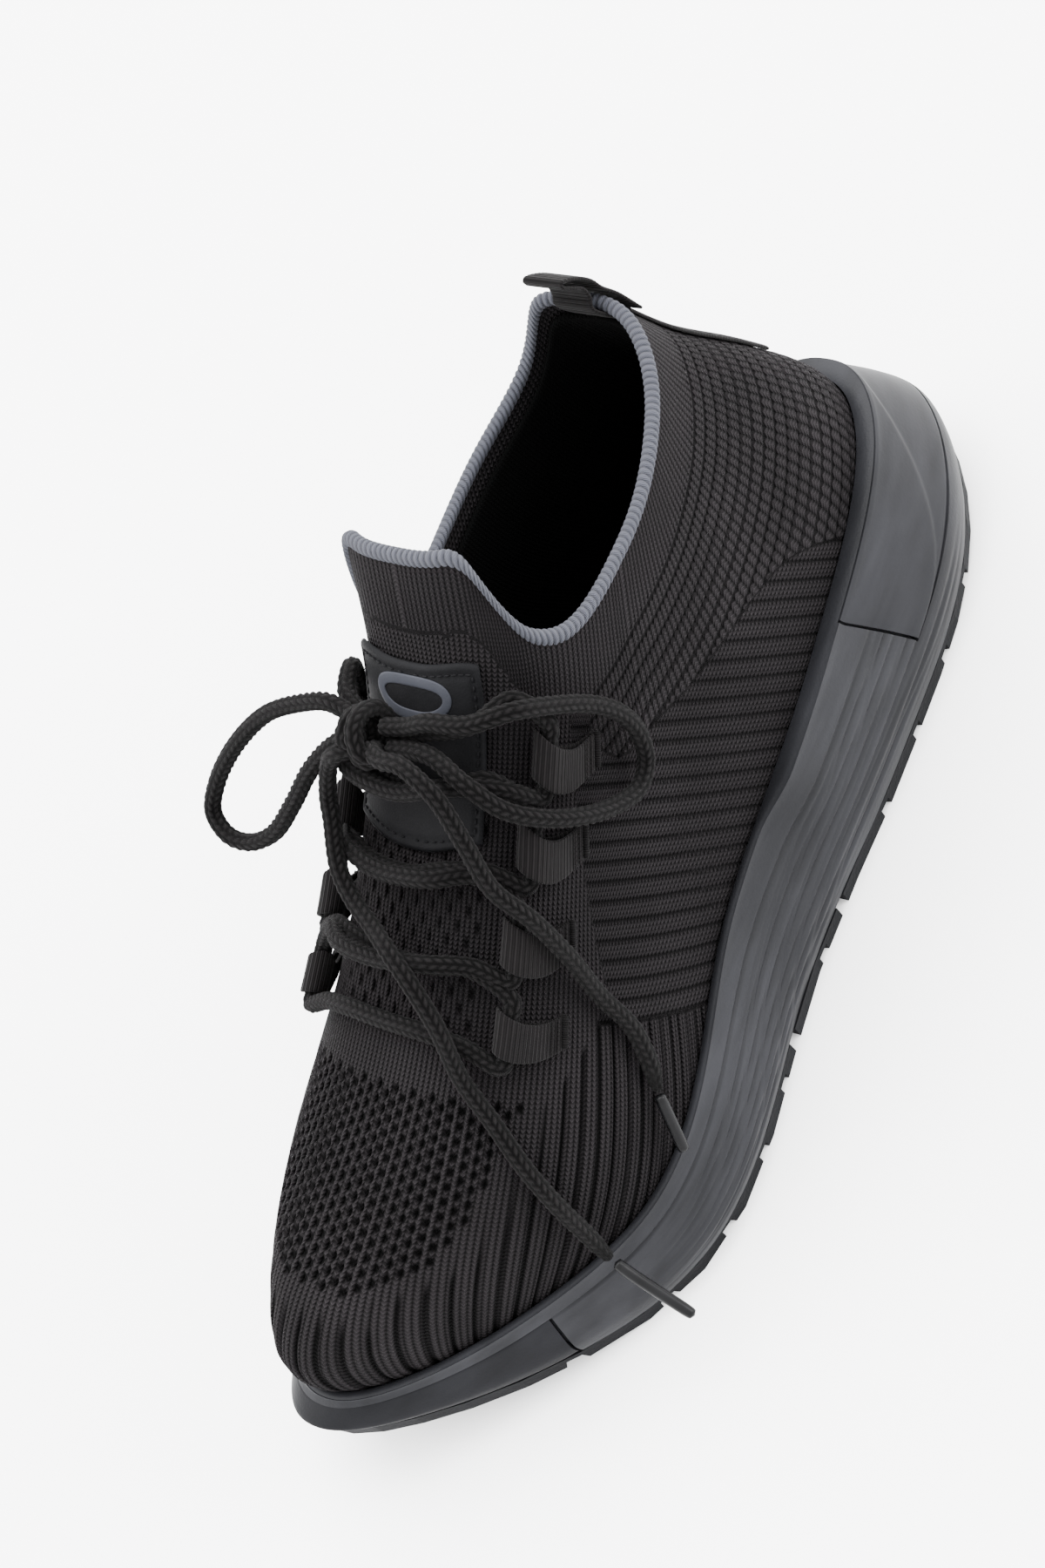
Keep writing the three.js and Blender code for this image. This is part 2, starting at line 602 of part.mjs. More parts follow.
// The lace over the ridge from a loop to the next one up on the far side. Rising adds to its
// lift where it passes over its partner; padding clears the patch.
const CROSSING_SHARES = [0.16, 0.33, 0.5, 0.67, 0.84];
const CROSSING_RISE = [0.2, 0.85, 1, 0.85, 0.2];
const CROSSING_CLIMB = [0.013, 0.004, 0, 0, 0]; // it leaves the lower loop from its upper side
const RIDGE_HEIGHTS = [0.659, 0.712, 0.779, 0.841]; // where the bar and the crossings pass the ridge
const ridgeShare = (share) => 1 - (2 * share - 1) ** 2;
const UNDER_LIFT = LACE_RADIUS + 1;
const OVER_RISE = 2 * LACE_RADIUS + 0.9;
const PATCH_ROW = 3;
function crossing(row, side, rise) {
  const [fromAngle, fromHeight] = eyeExit(row - 1, EYE_REACH);
  const [toAngle, toHeight] = eyeExit(row, -EYE_REACH);
  const bow = RIDGE_HEIGHTS[row] - (fromHeight + toHeight) / 2;
  const padding = row === PATCH_ROW ? PATCH_LIFT + PATCH_THICKNESS : 0;
  return CROSSING_SHARES.map((share, i) => {
    const angle = side * degToRad(lerp(fromAngle - 360, -toAngle, share) + 360);
    const height = lerp(fromHeight, toHeight, share) + ridgeShare(share) * bow + CROSSING_CLIMB[i];
    const nearEye = 1.3 * Math.abs(2 * share - 1);
    return shell(-angle, height, -(UNDER_LIFT + padding + nearEye + rise * CROSSING_RISE[i]));
  });
}

// The straight bar across the bottom pair of loops.
function bottomBar() {
  const [angle, height] = eyeExit(0, -EYE_REACH);
  return CROSSING_SHARES.map((share) => {
    const along = lerp(height, RIDGE_HEIGHTS[0], ridgeShare(share));
    return shell(degToRad(lerp(angle, 360 - angle, share)), along, -UNDER_LIFT);
  });
}

// From a top loop in to the side of the knot.
const toKnot = (side) => [[0.25, 0.009, 1.5], [0.52, -0.028, 3.6]].map(([share, climbed, lift]) => {
  const [angle, height] = eyeExit(PATCH_ROW, EYE_REACH);
  return shell(side * degToRad(lerp(angle, 180, share)), height + climbed, -(UNDER_LIFT + lift));
});

// The lace from one top loop down to the bottom loops and up to the other top loop.
function laceRows() {
  const route = toKnot(-1).reverse();
  for (let row = 3; row > 0; row--) {
    const side = row % 2 === 1 ? -1 : 1;
    route.push(...throughEye(row, side).reverse(), ...crossing(row, side, 0).reverse());
  }
  route.push(...throughEye(0, 1).reverse(), ...bottomBar(), ...throughEye(0, -1));
  for (let row = 1; row < 4; row++) {
    const side = row % 2 === 1 ? 1 : -1;
    route.push(...crossing(row, side, OVER_RISE), ...throughEye(row, side));
  }
  return [...route, ...toKnot(1)];
}
addPiece('lace_rows', cord(laceRows(), 1), LACE_CHARCOAL, 0.9);

const toVectors = (list) => list.map((p) => new THREE.Vector3(...p));

const KNOT_CENTRE = new THREE.Vector3(-4, -15.2, 125.6);
const KNOT_SIZE = new THREE.Vector3(8.6, 6.2, 5.6);

addPiece('lace_knot', new THREE.SphereGeometry(1, 14, 10)
  .scale(...KNOT_SIZE).translate(...KNOT_CENTRE), LACE_CHARCOAL, 0.9);

// Two bow loops and two free ends leave the knot. Each is a list of points along its middle.
const BOW_OUTER = toVectors([[5.7, -11.4, 127.5], [11.8, -10.1, 129.2], [21.3, -7.9, 127.7],
  [29.1, -1, 124.7], [32, 5.9, 116.4], [33.2, 11.4, 107.3], [34.4, 14, 98.8], [35, 13.4, 91.1],
  [35.8, 9.6, 85.5], [36.8, 3, 84.7], [36.8, -4, 89.3], [36, -11.4, 97.6], [33, -16.7, 105.6],
  [28.6, -19.5, 112.9], [22.2, -18.7, 120.5], [13.5, -15.8, 124.3], [7, -15.5, 124.3]]);
const BOW_INNER = toVectors([[-13, -11.5, 127.5], [-19, -10.8, 128.6], [-26.2, -11.8, 127.7],
  [-39, -15.6, 124.5], [-50.2, -23.1, 118.1], [-57, -31, 111.2], [-58.3, -36.6, 106.6],
  [-53.4, -40.1, 103.3], [-47.2, -39.8, 101.9], [-40.3, -36.5, 103.5], [-33.1, -30.3, 109.5],
  [-26.5, -23.8, 116.2], [-19.5, -18.6, 121], [-14, -16.5, 123.4]]);
const END_OUTER = toVectors([[3.8, -20.9, 128.4], [10, -21, 128.4], [18.6, -24.2, 123.4],
  [24, -29.6, 113.9], [28.3, -34.8, 103.8], [33.8, -36, 93.3], [37.5, -38.2, 80.5],
  [39.6, -41, 67.6], [43.2, -42.9, 57.2], [46, -47.8, 48.2], [47.2, -52, 42.8]]);
const AGLET_OUTER = toVectors([[47.3, -52.4, 42.3], [51.5, -60.2, 29.5]]);
const END_INNER = toVectors([[-11.6, -21.5, 126.2], [-15.8, -23.5, 121.9], [-17.2, -28.5, 116.2],
  [-15.5, -32.3, 113.8], [-10.9, -41.6, 109.2], [-5.9, -46.7, 105.4], [0.5, -50.4, 103.4],
  [6.9, -54.3, 102.1], [13.9, -59.1, 98], [19.8, -64.7, 90.2], [23.5, -71.5, 79.2],
  [29.3, -76.6, 69.1], [35.6, -81.9, 60.3], [40.8, -85.6, 50.3], [44, -87.8, 38.6],
  [47, -89.6, 31]]);
const AGLET_INNER = toVectors([[47.8, -89.8, 30.2], [51.6, -90.6, 27], [65, -92.6, 17.4]]);

addPiece('bow_loop_outer', cord(BOW_OUTER, 2), LACE_CHARCOAL, 0.9);
addPiece('bow_loop_inner', cord(BOW_INNER, 2), LACE_CHARCOAL, 0.9);
addPiece('lace_end_outer', cord(END_OUTER, 2), LACE_CHARCOAL, 0.9);
addPiece('lace_end_inner', cord(END_INNER, 2), LACE_CHARCOAL, 0.9);

const AGLET_RADIUS = 1.8;
addPiece('aglet_outer', cord(AGLET_OUTER, 1, AGLET_RADIUS, 10), PATCH_BLACK, 0.3);
addPiece('aglet_inner', cord(AGLET_INNER, 3, AGLET_RADIUS, 10), PATCH_BLACK, 0.3);

export default shoe;
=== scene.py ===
"""A left running shoe, dressed round its fixed frame: knit, moulded sole, webbing and lace."""

import math

import bmesh
import bpy
import numpy as np
from bpy.props import FloatProperty, FloatVectorProperty, IntProperty, PointerProperty
from bpy.types import Operator, Panel, PropertyGroup
from mathutils import Matrix, Vector


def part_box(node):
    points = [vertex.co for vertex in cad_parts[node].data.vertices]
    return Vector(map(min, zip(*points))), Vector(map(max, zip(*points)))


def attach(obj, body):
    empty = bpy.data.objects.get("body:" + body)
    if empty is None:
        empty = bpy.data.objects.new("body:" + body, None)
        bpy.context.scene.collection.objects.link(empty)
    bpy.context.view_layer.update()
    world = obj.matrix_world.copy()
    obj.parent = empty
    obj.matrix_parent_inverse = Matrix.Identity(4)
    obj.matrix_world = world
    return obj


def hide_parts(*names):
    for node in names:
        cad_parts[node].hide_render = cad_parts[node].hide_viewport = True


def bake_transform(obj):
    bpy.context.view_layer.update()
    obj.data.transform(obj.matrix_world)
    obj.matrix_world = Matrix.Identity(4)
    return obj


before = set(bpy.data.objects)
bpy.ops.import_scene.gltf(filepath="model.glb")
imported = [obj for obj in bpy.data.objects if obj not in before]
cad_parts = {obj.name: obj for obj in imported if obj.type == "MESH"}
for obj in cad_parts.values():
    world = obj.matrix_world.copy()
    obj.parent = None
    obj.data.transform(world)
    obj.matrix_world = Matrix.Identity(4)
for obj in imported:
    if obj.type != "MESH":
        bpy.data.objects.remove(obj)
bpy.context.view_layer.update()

bl_info = {
    "name": "Running Shoe",
    "version": (1, 0, 0),
    "blender": (4, 5, 0),
    "location": "View3D > Sidebar > Shoe",
    "description": "Builds the knit, sole, trim and lace of a running shoe round its frame",
    "category": "Add Mesh",
}

MM = 0.001

# ---------------------------------------------------------------- the shoe's shape, in millimetres
# These lines repeat the frame's own design, so each surface lies where its solid does.


def profile(pairs):
    """A smooth curve through [position, value] pairs, as a function of an array of positions."""
    at = np.array([pair[0] for pair in pairs], float)
    value = np.array([pair[1] for pair in pairs], float)
    before = np.maximum(np.arange(len(at)) - 1, 0)
    after = np.minimum(np.arange(len(at)) + 1, len(at) - 1)
    slope = (value[after] - value[before]) / (at[after] - at[before])

    def curve(position):
        position = np.asarray(position, float)
        i = np.clip(np.searchsorted(at, position, side="left") - 1, 0, len(at) - 2)
        span = at[i + 1] - at[i]
        t = np.clip((position - at[i]) / span, 0, 1)
        rise = value[i + 1] - value[i]
        a = slope[i] * span - rise
        b = rise - slope[i + 1] * span
        return value[i] + rise * t + t * (1 - t) * ((1 - t) * a + t * b)

    return curve


HALF_LENGTH = 151
OUTER_HALF_WIDTH = profile([[-151, 43], [-110, 56], [-70, 59.5], [-5, 45], [60, 43.5], [115, 47],
                            [151, 45]])
INNER_HALF_WIDTH = profile([[-151, 42.5], [-110, 54], [-70, 59.5], [0, 42], [50, 39], [115, 42],
                            [151, 41]])
CENTRE_LINE = profile([[-151, -14.8], [-110, -6.9], [-70, -0.4], [0, 0.1], [151, -1.4]])
GROUND_PROFILE = profile([[-151, 20], [-125, 8.5], [-98, 1], [-80, 0], [60, 0], [95, 0.6],
                          [125, 3.5], [151, 9.5]])
RIM_HEIGHT = profile([[-151, 31], [-125, 27], [-90, 25], [-55, 26.5], [0, 35.5], [60, 41],
                      [110, 46.5], [151, 51]])
TOE_BLUNTNESS = 2.15
HEEL_BLUNTNESS = 2.35
OUTSOLE = 4
GAP = 0.3
RIM_THICKNESS = 3
HEEL_RIM_EXTRA = 2.8
RIDGE_Y = profile([[0, -139], [0.1, -143.5], [0.2, -141.5], [0.32, -130], [0.45, -108], [0.6, -78],
                   [0.75, -42], [0.88, -8], [1, 17]])
RIDGE_Z = profile([[0, 24], [0.1, 34], [0.2, 45], [0.32, 54], [0.45, 62], [0.6, 75],
                   [0.75, 95], [0.88, 118], [1, 150]])
HEEL_Y = profile([[0, 130], [0.12, 133], [0.28, 131.5], [0.5, 121], [0.75, 107], [1, 97]])
HEEL_Z = profile([[0, 31], [0.12, 42], [0.28, 58], [0.5, 82], [0.75, 109], [1, 136]])
BED_SAG = 8.5
FOOT_MARGIN = 9.5
COLLAR_HALF_WIDTH = profile([[-40, 29], [25, 27.5], [60, 28], [100, 24]])
COLLAR_BLUNTNESS = 3
COLLAR_OUTER = profile([[0, 0.97], [30, 0.93], [60, 0.875], [92, 0.85], [122, 0.905], [146, 0.985],
                        [158, 1], [180, 1]])
COLLAR_INNER = profile([[0, 0.97], [25, 0.985], [52, 0.86], [75, 0.83], [100, 0.835], [124, 0.9],
                        [146, 0.985], [158, 1], [180, 1]])
COLLAR_KNIT = 1.3
LINING_DEPTH = 3.6
LINING = 1.2
BINDING_RADIUS = 1.3
SIDE_SWEEP = profile([[0, 0.14], [0.1, 0.03], [0.25, 0], [0.5, 0.3], [0.8, 0.74], [0.94, 0.95],
                      [1, 1]])
AROUND = 48
RING_STEP = 360 / AROUND
CLIP_REACH = 8
BUMPER_REACH = 6
WRAP_LOW = 0.3
BUMPER_HIGH = 0.8
WRAP_THICKNESS = 2
WRAP_GAP = 0.5
STEP = 0.001
SEAT_PLACES = (0.015, 0.053)
SEAT_DEGREES = (0.11, 0.4)


def lerp(a, b, t):
    return a + (b - a) * t


def smooth(x, low, high):
    t = np.clip((np.asarray(x, float) - low) / (high - low), 0, 1)
    return t * t * (3 - 2 * t)


def ground(y):
    return np.maximum(GROUND_PROFILE(y), 0)


def heel_degrees(angle):
    """How far an angle is from the back of the heel, in degrees."""
    return np.degrees(np.abs(np.arctan2(np.sin(angle), np.cos(angle))))


def unit(vectors):
    return vectors / np.maximum(np.linalg.norm(vectors, axis=-1, keepdims=True), 1e-9)


def ring_point(angle, front, rear, toe, outer, inner, skew, height):
    """Points of a ring from the heel (0) round the outer side to the toe (180 degrees)."""
    c, s = np.cos(angle), np.sin(angle)
    power = 2 / np.where(c > 0, HEEL_BLUNTNESS, toe)
    along = np.sign(c) * np.abs(c) ** power
    y = (front + rear) / 2 + along * (rear - front) / 2
    half = np.where(s >= 0, outer(y), inner(y))
    x = CENTRE_LINE(y) * skew + np.sign(s) * half * np.abs(s) ** power
    return np.stack(np.broadcast_arrays(x, y, height(y, (1 + along) / 2)), -1)


def sole_edge(angle):
    return ring_point(angle, -HALF_LENGTH, HALF_LENGTH, TOE_BLUNTNESS, OUTER_HALF_WIDTH,
                      INNER_HALF_WIDTH, 1, lambda y, q: ground(y))


def upper_face(angle, level):
    """Points of the upper's outer face at ring levels from 0 (feather line) to 1 (top)."""
    narrowing = smooth(level, 0.12, 1)
    sag = BED_SAG * (1 - level) ** 2 * 6.75
    toe = lerp(TOE_BLUNTNESS, COLLAR_BLUNTNESS, level * level)
    return ring_point(
        angle, RIDGE_Y(level), HEEL_Y(level), toe,
        lambda y: lerp(OUTER_HALF_WIDTH(y) - FOOT_MARGIN - 3 * smooth(y, 20, 110),
                       COLLAR_HALF_WIDTH(y), narrowing),
        lambda y: lerp(INNER_HALF_WIDTH(y) - FOOT_MARGIN, COLLAR_HALF_WIDTH(y), narrowing),
        lerp(1, 0.6, level),
        lambda y, q: lerp(RIDGE_Z(level), HEEL_Z(level), q) - sag * q * (1 - q) ** 2)


def collar_level(angle):
    """The ring level of the collar line."""
    degrees = np.degrees(np.arctan2(np.sin(angle), np.cos(angle)))
    return np.where(degrees < 0, COLLAR_INNER(-degrees), COLLAR_OUTER(degrees))


def shell(angle, height, depth=0):
    """Points between the feather line (0) and the collar line (1), moved inwards by depth."""
    angle, height = np.broadcast_arrays(np.asarray(angle, float), np.asarray(height, float))
    level = height * collar_level(angle)
    step = 0.004
    low = np.maximum(level - step, 0)
    across = upper_face(angle + step, level) - upper_face(angle - step, level)
    up = upper_face(angle, low + 2 * step) - upper_face(angle, low)
    inwards = unit(np.cross(across, up))
    return upper_face(angle, level) + inwards * np.asarray(depth, float)[..., None]


def behind_wrap(angle, centre, reach):
    """1 behind a wrap centred on an angle, falling to 0 outside it."""
    places = heel_degrees(angle - centre) / RING_STEP
    return 1 - smooth(places, reach + 0.3, reach + 1.2)


def rim_level(angle):
    """The ring level where the upper's face passes a height below the rim."""
    low, high = np.zeros_like(angle), np.full_like(angle, 0.5)
    for _ in range(16):
        middle = (low + high) / 2
        point = upper_face(angle, middle)
        under = point[..., 2] < RIM_HEIGHT(point[..., 1]) - 1
        low, high = np.where(under, middle, low), np.where(under, high, middle)
    return low


def out_of(place, angle):
    """The horizontal direction out of a ring."""
    ahead = place(angle + 0.01) - place(angle - 0.01)
    out = np.stack([-ahead[..., 1], ahead[..., 0], np.zeros(ahead.shape[:-1])], -1)
    return unit(out)


def rim_edge(angle):
    """The outer edge of the foam cup's rim."""
    level = rim_level(angle)

    def face(a):
        return upper_face(a, level)

    thickness = RIM_THICKNESS + HEEL_RIM_EXTRA * behind_wrap(angle, 0, CLIP_REACH + 2)
    point = face(angle) + out_of(face, angle) * thickness[..., None]
    point[..., 2] = RIM_HEIGHT(point[..., 1])
    return point


def sole_side(angle, share, depth=0):
    """Points of the sole's side, from its foot (0) to its rim (1), moved inwards by depth."""
    edge, rim = sole_edge(angle), rim_edge(angle)
    point = edge + (rim - edge) * SIDE_SWEEP(share)[..., None]
    foot = edge[..., 2] + OUTSOLE + GAP
    point[..., 2] = lerp(foot, rim[..., 2], share)
    return point - out_of(sole_edge, angle) * np.asarray(depth, float)[..., None]


def cup_wall(angle, share, gap=GAP):
    """The cup that the upper's foot stands in."""
    level = rim_level(angle) * share

    def face(a):
        return upper_face(a, level)

    return face(angle) + out_of(face, angle) * gap


def at_loop(place, side, along, up, out):
    """Points over the upper at a lace loop: along it, up the throat, and out of the knit."""
    share = np.asarray(along, float) / LOOP_LENGTH
    angle = lerp(place[2], place[0], share) + THROAT_TURN * np.asarray(up, float)
    height = lerp(place[3], place[1], share) + THROAT_CLIMB * np.asarray(up, float)
    return shell(side * np.radians(angle), height, -np.asarray(out, float))


# ---------------------------------------------------------------- the lace's route, in millimetres

LACE_RADIUS = 2.2
LOOP_WIDTH = 9.5
LOOP_LENGTH = 16
WEB = 1
EYE_RADIUS = LACE_RADIUS + 0.7
EYE_AT = 12.3
LOOP_LIFT = 0.9
LOOP_PLACES = [
    [142.7, 0.638, 121.4, 0.562],
    [141.4, 0.722, 116.6, 0.668],
    [136.2, 0.812, 109.5, 0.761],
    [130.5, 0.897, 103, 0.848],
]
THROAT_TURN = -0.1
THROAT_CLIMB = 0.0048
PATCH_LIFT = 0.8
PATCH_THICKNESS = 1.1
PATCH_ROW = 3
EYE_OUT = LOOP_LIFT + WEB + EYE_RADIUS
EYE_REACH = 7
EYE_RUN = [[-EYE_REACH, 1], [-4.9, 0], [0, 0], [4.9, 0], [EYE_REACH + 1.1, 0]]
CROSSING_SHARES = [0.16, 0.33, 0.5, 0.67, 0.84]
CROSSING_RISE = [0.2, 0.85, 1, 0.85, 0.2]
CROSSING_CLIMB = [0.013, 0.004, 0, 0, 0]
RIDGE_HEIGHTS = [0.659, 0.712, 0.779, 0.841]
UNDER_LIFT = LACE_RADIUS + 1
OVER_RISE = 2 * LACE_RADIUS + 0.9
TO_KNOT = [[0.25, 0.009, 1.5], [0.52, -0.028, 3.6]]
KNOT_CENTRE = (-4, -15.2, 125.6)
TIP_RADIUS = 1.45
TIP_SIDES = 24

BOW_OUTER = [[5.7, -11.4, 127.5], [11.8, -10.1, 129.2], [21.3, -7.9, 127.7], [29.1, -1, 124.7],
             [32, 5.9, 116.4], [33.2, 11.4, 107.3], [34.4, 14, 98.8], [35, 13.4, 91.1],
             [35.8, 9.6, 85.5], [36.8, 3, 84.7], [36.8, -4, 89.3], [36, -11.4, 97.6],
             [33, -16.7, 105.6], [28.6, -19.5, 112.9], [22.2, -18.7, 120.5], [13.5, -15.8, 124.3],
             [7, -15.5, 124.3]]
BOW_INNER = [[-13, -11.5, 127.5], [-19, -10.8, 128.6], [-26.2, -11.8, 127.7], [-39, -15.6, 124.5],
             [-50.2, -23.1, 118.1], [-57, -31, 111.2], [-58.3, -36.6, 106.6], [-53.4, -40.1, 103.3],
             [-47.2, -39.8, 101.9], [-40.3, -36.5, 103.5], [-33.1, -30.3, 109.5],
             [-26.5, -23.8, 116.2], [-19.5, -18.6, 121], [-14, -16.5, 123.4]]
END_OUTER = [[3.8, -20.9, 128.4], [10, -21, 128.4], [18.6, -24.2, 123.4], [24, -29.6, 113.9],
             [28.3, -34.8, 103.8], [33.8, -36, 93.3], [37.5, -38.2, 80.5], [39.6, -41, 67.6],
             [43.2, -42.9, 57.2], [46, -47.8, 48.2], [47.2, -52, 42.8]]
AGLET_OUTER = [[47.3, -52.4, 42.3], [51.5, -60.2, 29.5]]
END_INNER = [[-11.6, -21.5, 126.2], [-15.8, -23.5, 121.9], [-17.2, -28.5, 116.2],
             [-15.5, -32.3, 113.8], [-10.9, -41.6, 109.2], [-5.9, -46.7, 105.4],
             [0.5, -50.4, 103.4], [6.9, -54.3, 102.1],
             [13.9, -59.1, 98], [19.8, -64.7, 90.2], [23.5, -71.5, 79.2], [29.3, -76.6, 69.1],
             [35.6, -81.9, 60.3], [40.8, -85.6, 50.3], [44, -87.8, 38.6], [47, -89.6, 31]]
AGLET_INNER = [[47.8, -89.8, 30.2], [51.6, -90.6, 27], [65, -92.6, 17.4]]

# Points of the knot, from its centre.
ROWS_START = [-1.6, 2.4, -2.4]
ROWS_END = [1.6, 2.4, -2.4]
BOW_OUTER_START, BOW_OUTER_END = [2.4, 2, 2.3], [4.2, -1.4, -1.2]
BOW_INNER_START, BOW_INNER_END = [-2.6, 2, 2.3], [-4, -1.6, -1.4]
END_OUTER_START = [1.5, -3, 1.6]
END_INNER_START = [-2.6, -3.4, 0.4]
KNOT_WRAP = [[0.5, -1.2, -0.6], [3.4, -4.6, 0.6], [1.8, -5.4, 3.4], [0.2, -2.6, 6.2],
             [-0.8, 1.8, 6.4], [-1, 5.4, 3.6], [-0.8, 6, -0.8], [-0.4, 2.8, -4.6],
             [-0.4, -2, -5], [-1.2, -5, -2.4], [-2.6, -4, 0.2], [-1, -1, 0.8]]
KNOT_TURN = [[-2.2, 0.5, 1], [-4.4, -3.6, 3.2], [-3.9, -1.2, 5.2], [-4, 2.4, 4.6],
             [-4, 4.4, 1], [-3.6, 1, -3.2], [-4, -2.8, -2.6], [-3, -1, -0.6]]


def through_eye(row, side):
    """The lace inside a loop's eye."""
    return [at_loop(LOOP_PLACES[row], side, EYE_AT + shift, up, EYE_OUT) for up, shift in EYE_RUN]


def eye_exit(row, up):
    """The angle and height where the lace leaves a loop's eye."""
    throat_angle, throat_height, sewn_angle, sewn_height = LOOP_PLACES[row]
    share = EYE_AT / LOOP_LENGTH
    return (lerp(sewn_angle, throat_angle, share) + THROAT_TURN * up,
            lerp(sewn_height, throat_height, share) + THROAT_CLIMB * up)


def ridge_share(share):
    """How near a crossing is to the ridge, 1 in its middle."""
    return 1 - (2 * share - 1) ** 2


def crossing(row, side, rise):
    """The lace over the ridge from a loop to the next one up on the far side."""
    from_angle, from_height = eye_exit(row - 1, EYE_REACH)
    to_angle, to_height = eye_exit(row, -EYE_REACH)
    bow = RIDGE_HEIGHTS[row] - (from_height + to_height) / 2
    padding = PATCH_LIFT + PATCH_THICKNESS if row == PATCH_ROW else 0
    points = []
    for share, lift, climb in zip(CROSSING_SHARES, CROSSING_RISE, CROSSING_CLIMB):
        angle = side * math.radians(lerp(from_angle - 360, -to_angle, share) + 360)
        height = lerp(from_height, to_height, share) + ridge_share(share) * bow + climb
        near_eye = 1.3 * abs(2 * share - 1)
        points.append(shell(-angle, height, -(UNDER_LIFT + padding + near_eye + rise * lift)))
    return points


def bottom_bar():
    """The straight bar between the two lowest loops."""
    angle, height = eye_exit(0, -EYE_REACH)
    points = []
    for share in CROSSING_SHARES:
        along = lerp(height, RIDGE_HEIGHTS[0], ridge_share(share))
        points.append(shell(math.radians(lerp(angle, 360 - angle, share)), along, -UNDER_LIFT))
    return points


def to_knot(side):
    """The lace from a top loop in under the knot."""
    angle, height = eye_exit(PATCH_ROW, EYE_REACH)
    points = []
    for share, rise, lift in TO_KNOT:
        turn = side * math.radians(lerp(angle, 180, share))
        points.append(shell(turn, height + rise, -(UNDER_LIFT + lift)))
    return points


def lace_rows():
    """The lace from one top loop down to the bottom loops and up to the other top loop."""
    route = to_knot(-1)[::-1]
    for row in (3, 2, 1):
        side = -1 if row % 2 == 1 else 1
        route += through_eye(row, side)[::-1] + crossing(row, side, 0)[::-1]
    route += through_eye(0, 1)[::-1] + bottom_bar() + through_eye(0, -1)
    for row in (1, 2, 3):
        side = 1 if row % 2 == 1 else -1
        route += crossing(row, side, OVER_RISE) + through_eye(row, side)
    return [list(map(float, point)) for point in route + to_knot(1)]


def smooth_path(points, step):
    """A centripetal curve through the points, sampled about every step."""
    p = np.asarray(points, float)
    p = np.vstack([2 * p[0] - p[1], p, 2 * p[-1] - p[-2]])
    fine = []
    for i in range(1, len(p) - 2):
        p0, p1, p2, p3 = p[i - 1:i + 3]
        d0, d1, d2 = (max(np.linalg.norm(b - a) ** 0.5, 1e-4)
                      for a, b in ((p0, p1), (p1, p2), (p2, p3)))
        m1 = ((p1 - p0) / d0 - (p2 - p0) / (d0 + d1) + (p2 - p1) / d1) * d1
        m2 = ((p2 - p1) / d1 - (p3 - p1) / (d1 + d2) + (p3 - p2) / d2) * d1
        t = np.linspace(0, 1, 24, endpoint=False)[:, None]
        square, cube = 3 * (p2 - p1) - 2 * m1 - m2, 2 * (p1 - p2) + m1 + m2
        fine.append(p1 + m1 * t + square * t ** 2 + cube * t ** 3)
    fine = np.vstack(fine + [p[-2][None]])
    run = np.concatenate([[0], np.cumsum(np.linalg.norm(np.diff(fine, axis=0), axis=1))])
    count = max(int(round(run[-1] / step)), 2)
    at = np.linspace(0, run[-1], count + 1)
    return np.stack([np.interp(at, run, fine[:, k]) for k in range(3)], -1), at


# ---------------------------------------------------------------- making meshes

WELD_DISTANCE = 0.000004
SPLINTER = 0.000002


def lay_grid(name, rows, texture=None, painted_shade=None, body="shoe"):
    """One surface through rows of points in millimetres, its seams welded.

    texture is a place in millimetres for each point, then painted shade: how much darker it is.
    """
    rows = np.asarray(rows, float)
    row_count, column_count = rows.shape[:2]
    bm = bmesh.new()
    bm.loops.layers.uv.new("surface")
    bmesh.ops.create_grid(bm, x_segments=column_count - 1, y_segments=row_count - 1, size=0.5,
                          calc_uvs=True)
    mesh = bpy.data.meshes.new(name)
    bm.to_mesh(mesh)
    bm.free()
    flat = np.empty(len(mesh.vertices) * 3)
    mesh.vertices.foreach_get("co", flat)
    flat = flat.reshape(-1, 3)
    column = np.rint((flat[:, 0] + 0.5) * (column_count - 1)).astype(int)
    row = np.rint((flat[:, 1] + 0.5) * (row_count - 1)).astype(int)
    mesh.vertices.foreach_set("co", (rows[row, column] * MM).ravel())
    corner = np.empty(len(mesh.loops) * 2)
    mesh.uv_layers["surface"].data.foreach_get("uv", corner)
    corner = corner.reshape(-1, 2)
    across = np.rint(corner[:, 0] * (column_count - 1)).astype(int)
    up = np.rint(corner[:, 1] * (row_count - 1)).astype(int)
    if texture is None:
        texture = run_lengths(rows)
    mesh.uv_layers["surface"].data.foreach_set("uv", texture[up, across].ravel())
    # Painted shade goes into a mesh attribute that the materials read to darken their colour.
    if painted_shade is not None:
        values = mesh.attributes.new("painted_shade", "FLOAT", "POINT")
        values.data.foreach_set("value", painted_shade[row, column].astype(np.float32))
    weld(mesh)
    return add_piece(name, mesh, body)


def run_lengths(rows):
    """How far each point is along its row and up its column, in millimetres."""
    along = np.linalg.norm(np.diff(rows, axis=1), axis=-1)
    climbed = np.linalg.norm(np.diff(rows, axis=0), axis=-1)
    u = np.concatenate([np.zeros((rows.shape[0], 1)), np.cumsum(along, axis=1)], axis=1)
    v = np.concatenate([np.zeros((1, rows.shape[1])), np.cumsum(climbed, axis=0)], axis=0)
    return np.stack([u, v], -1)


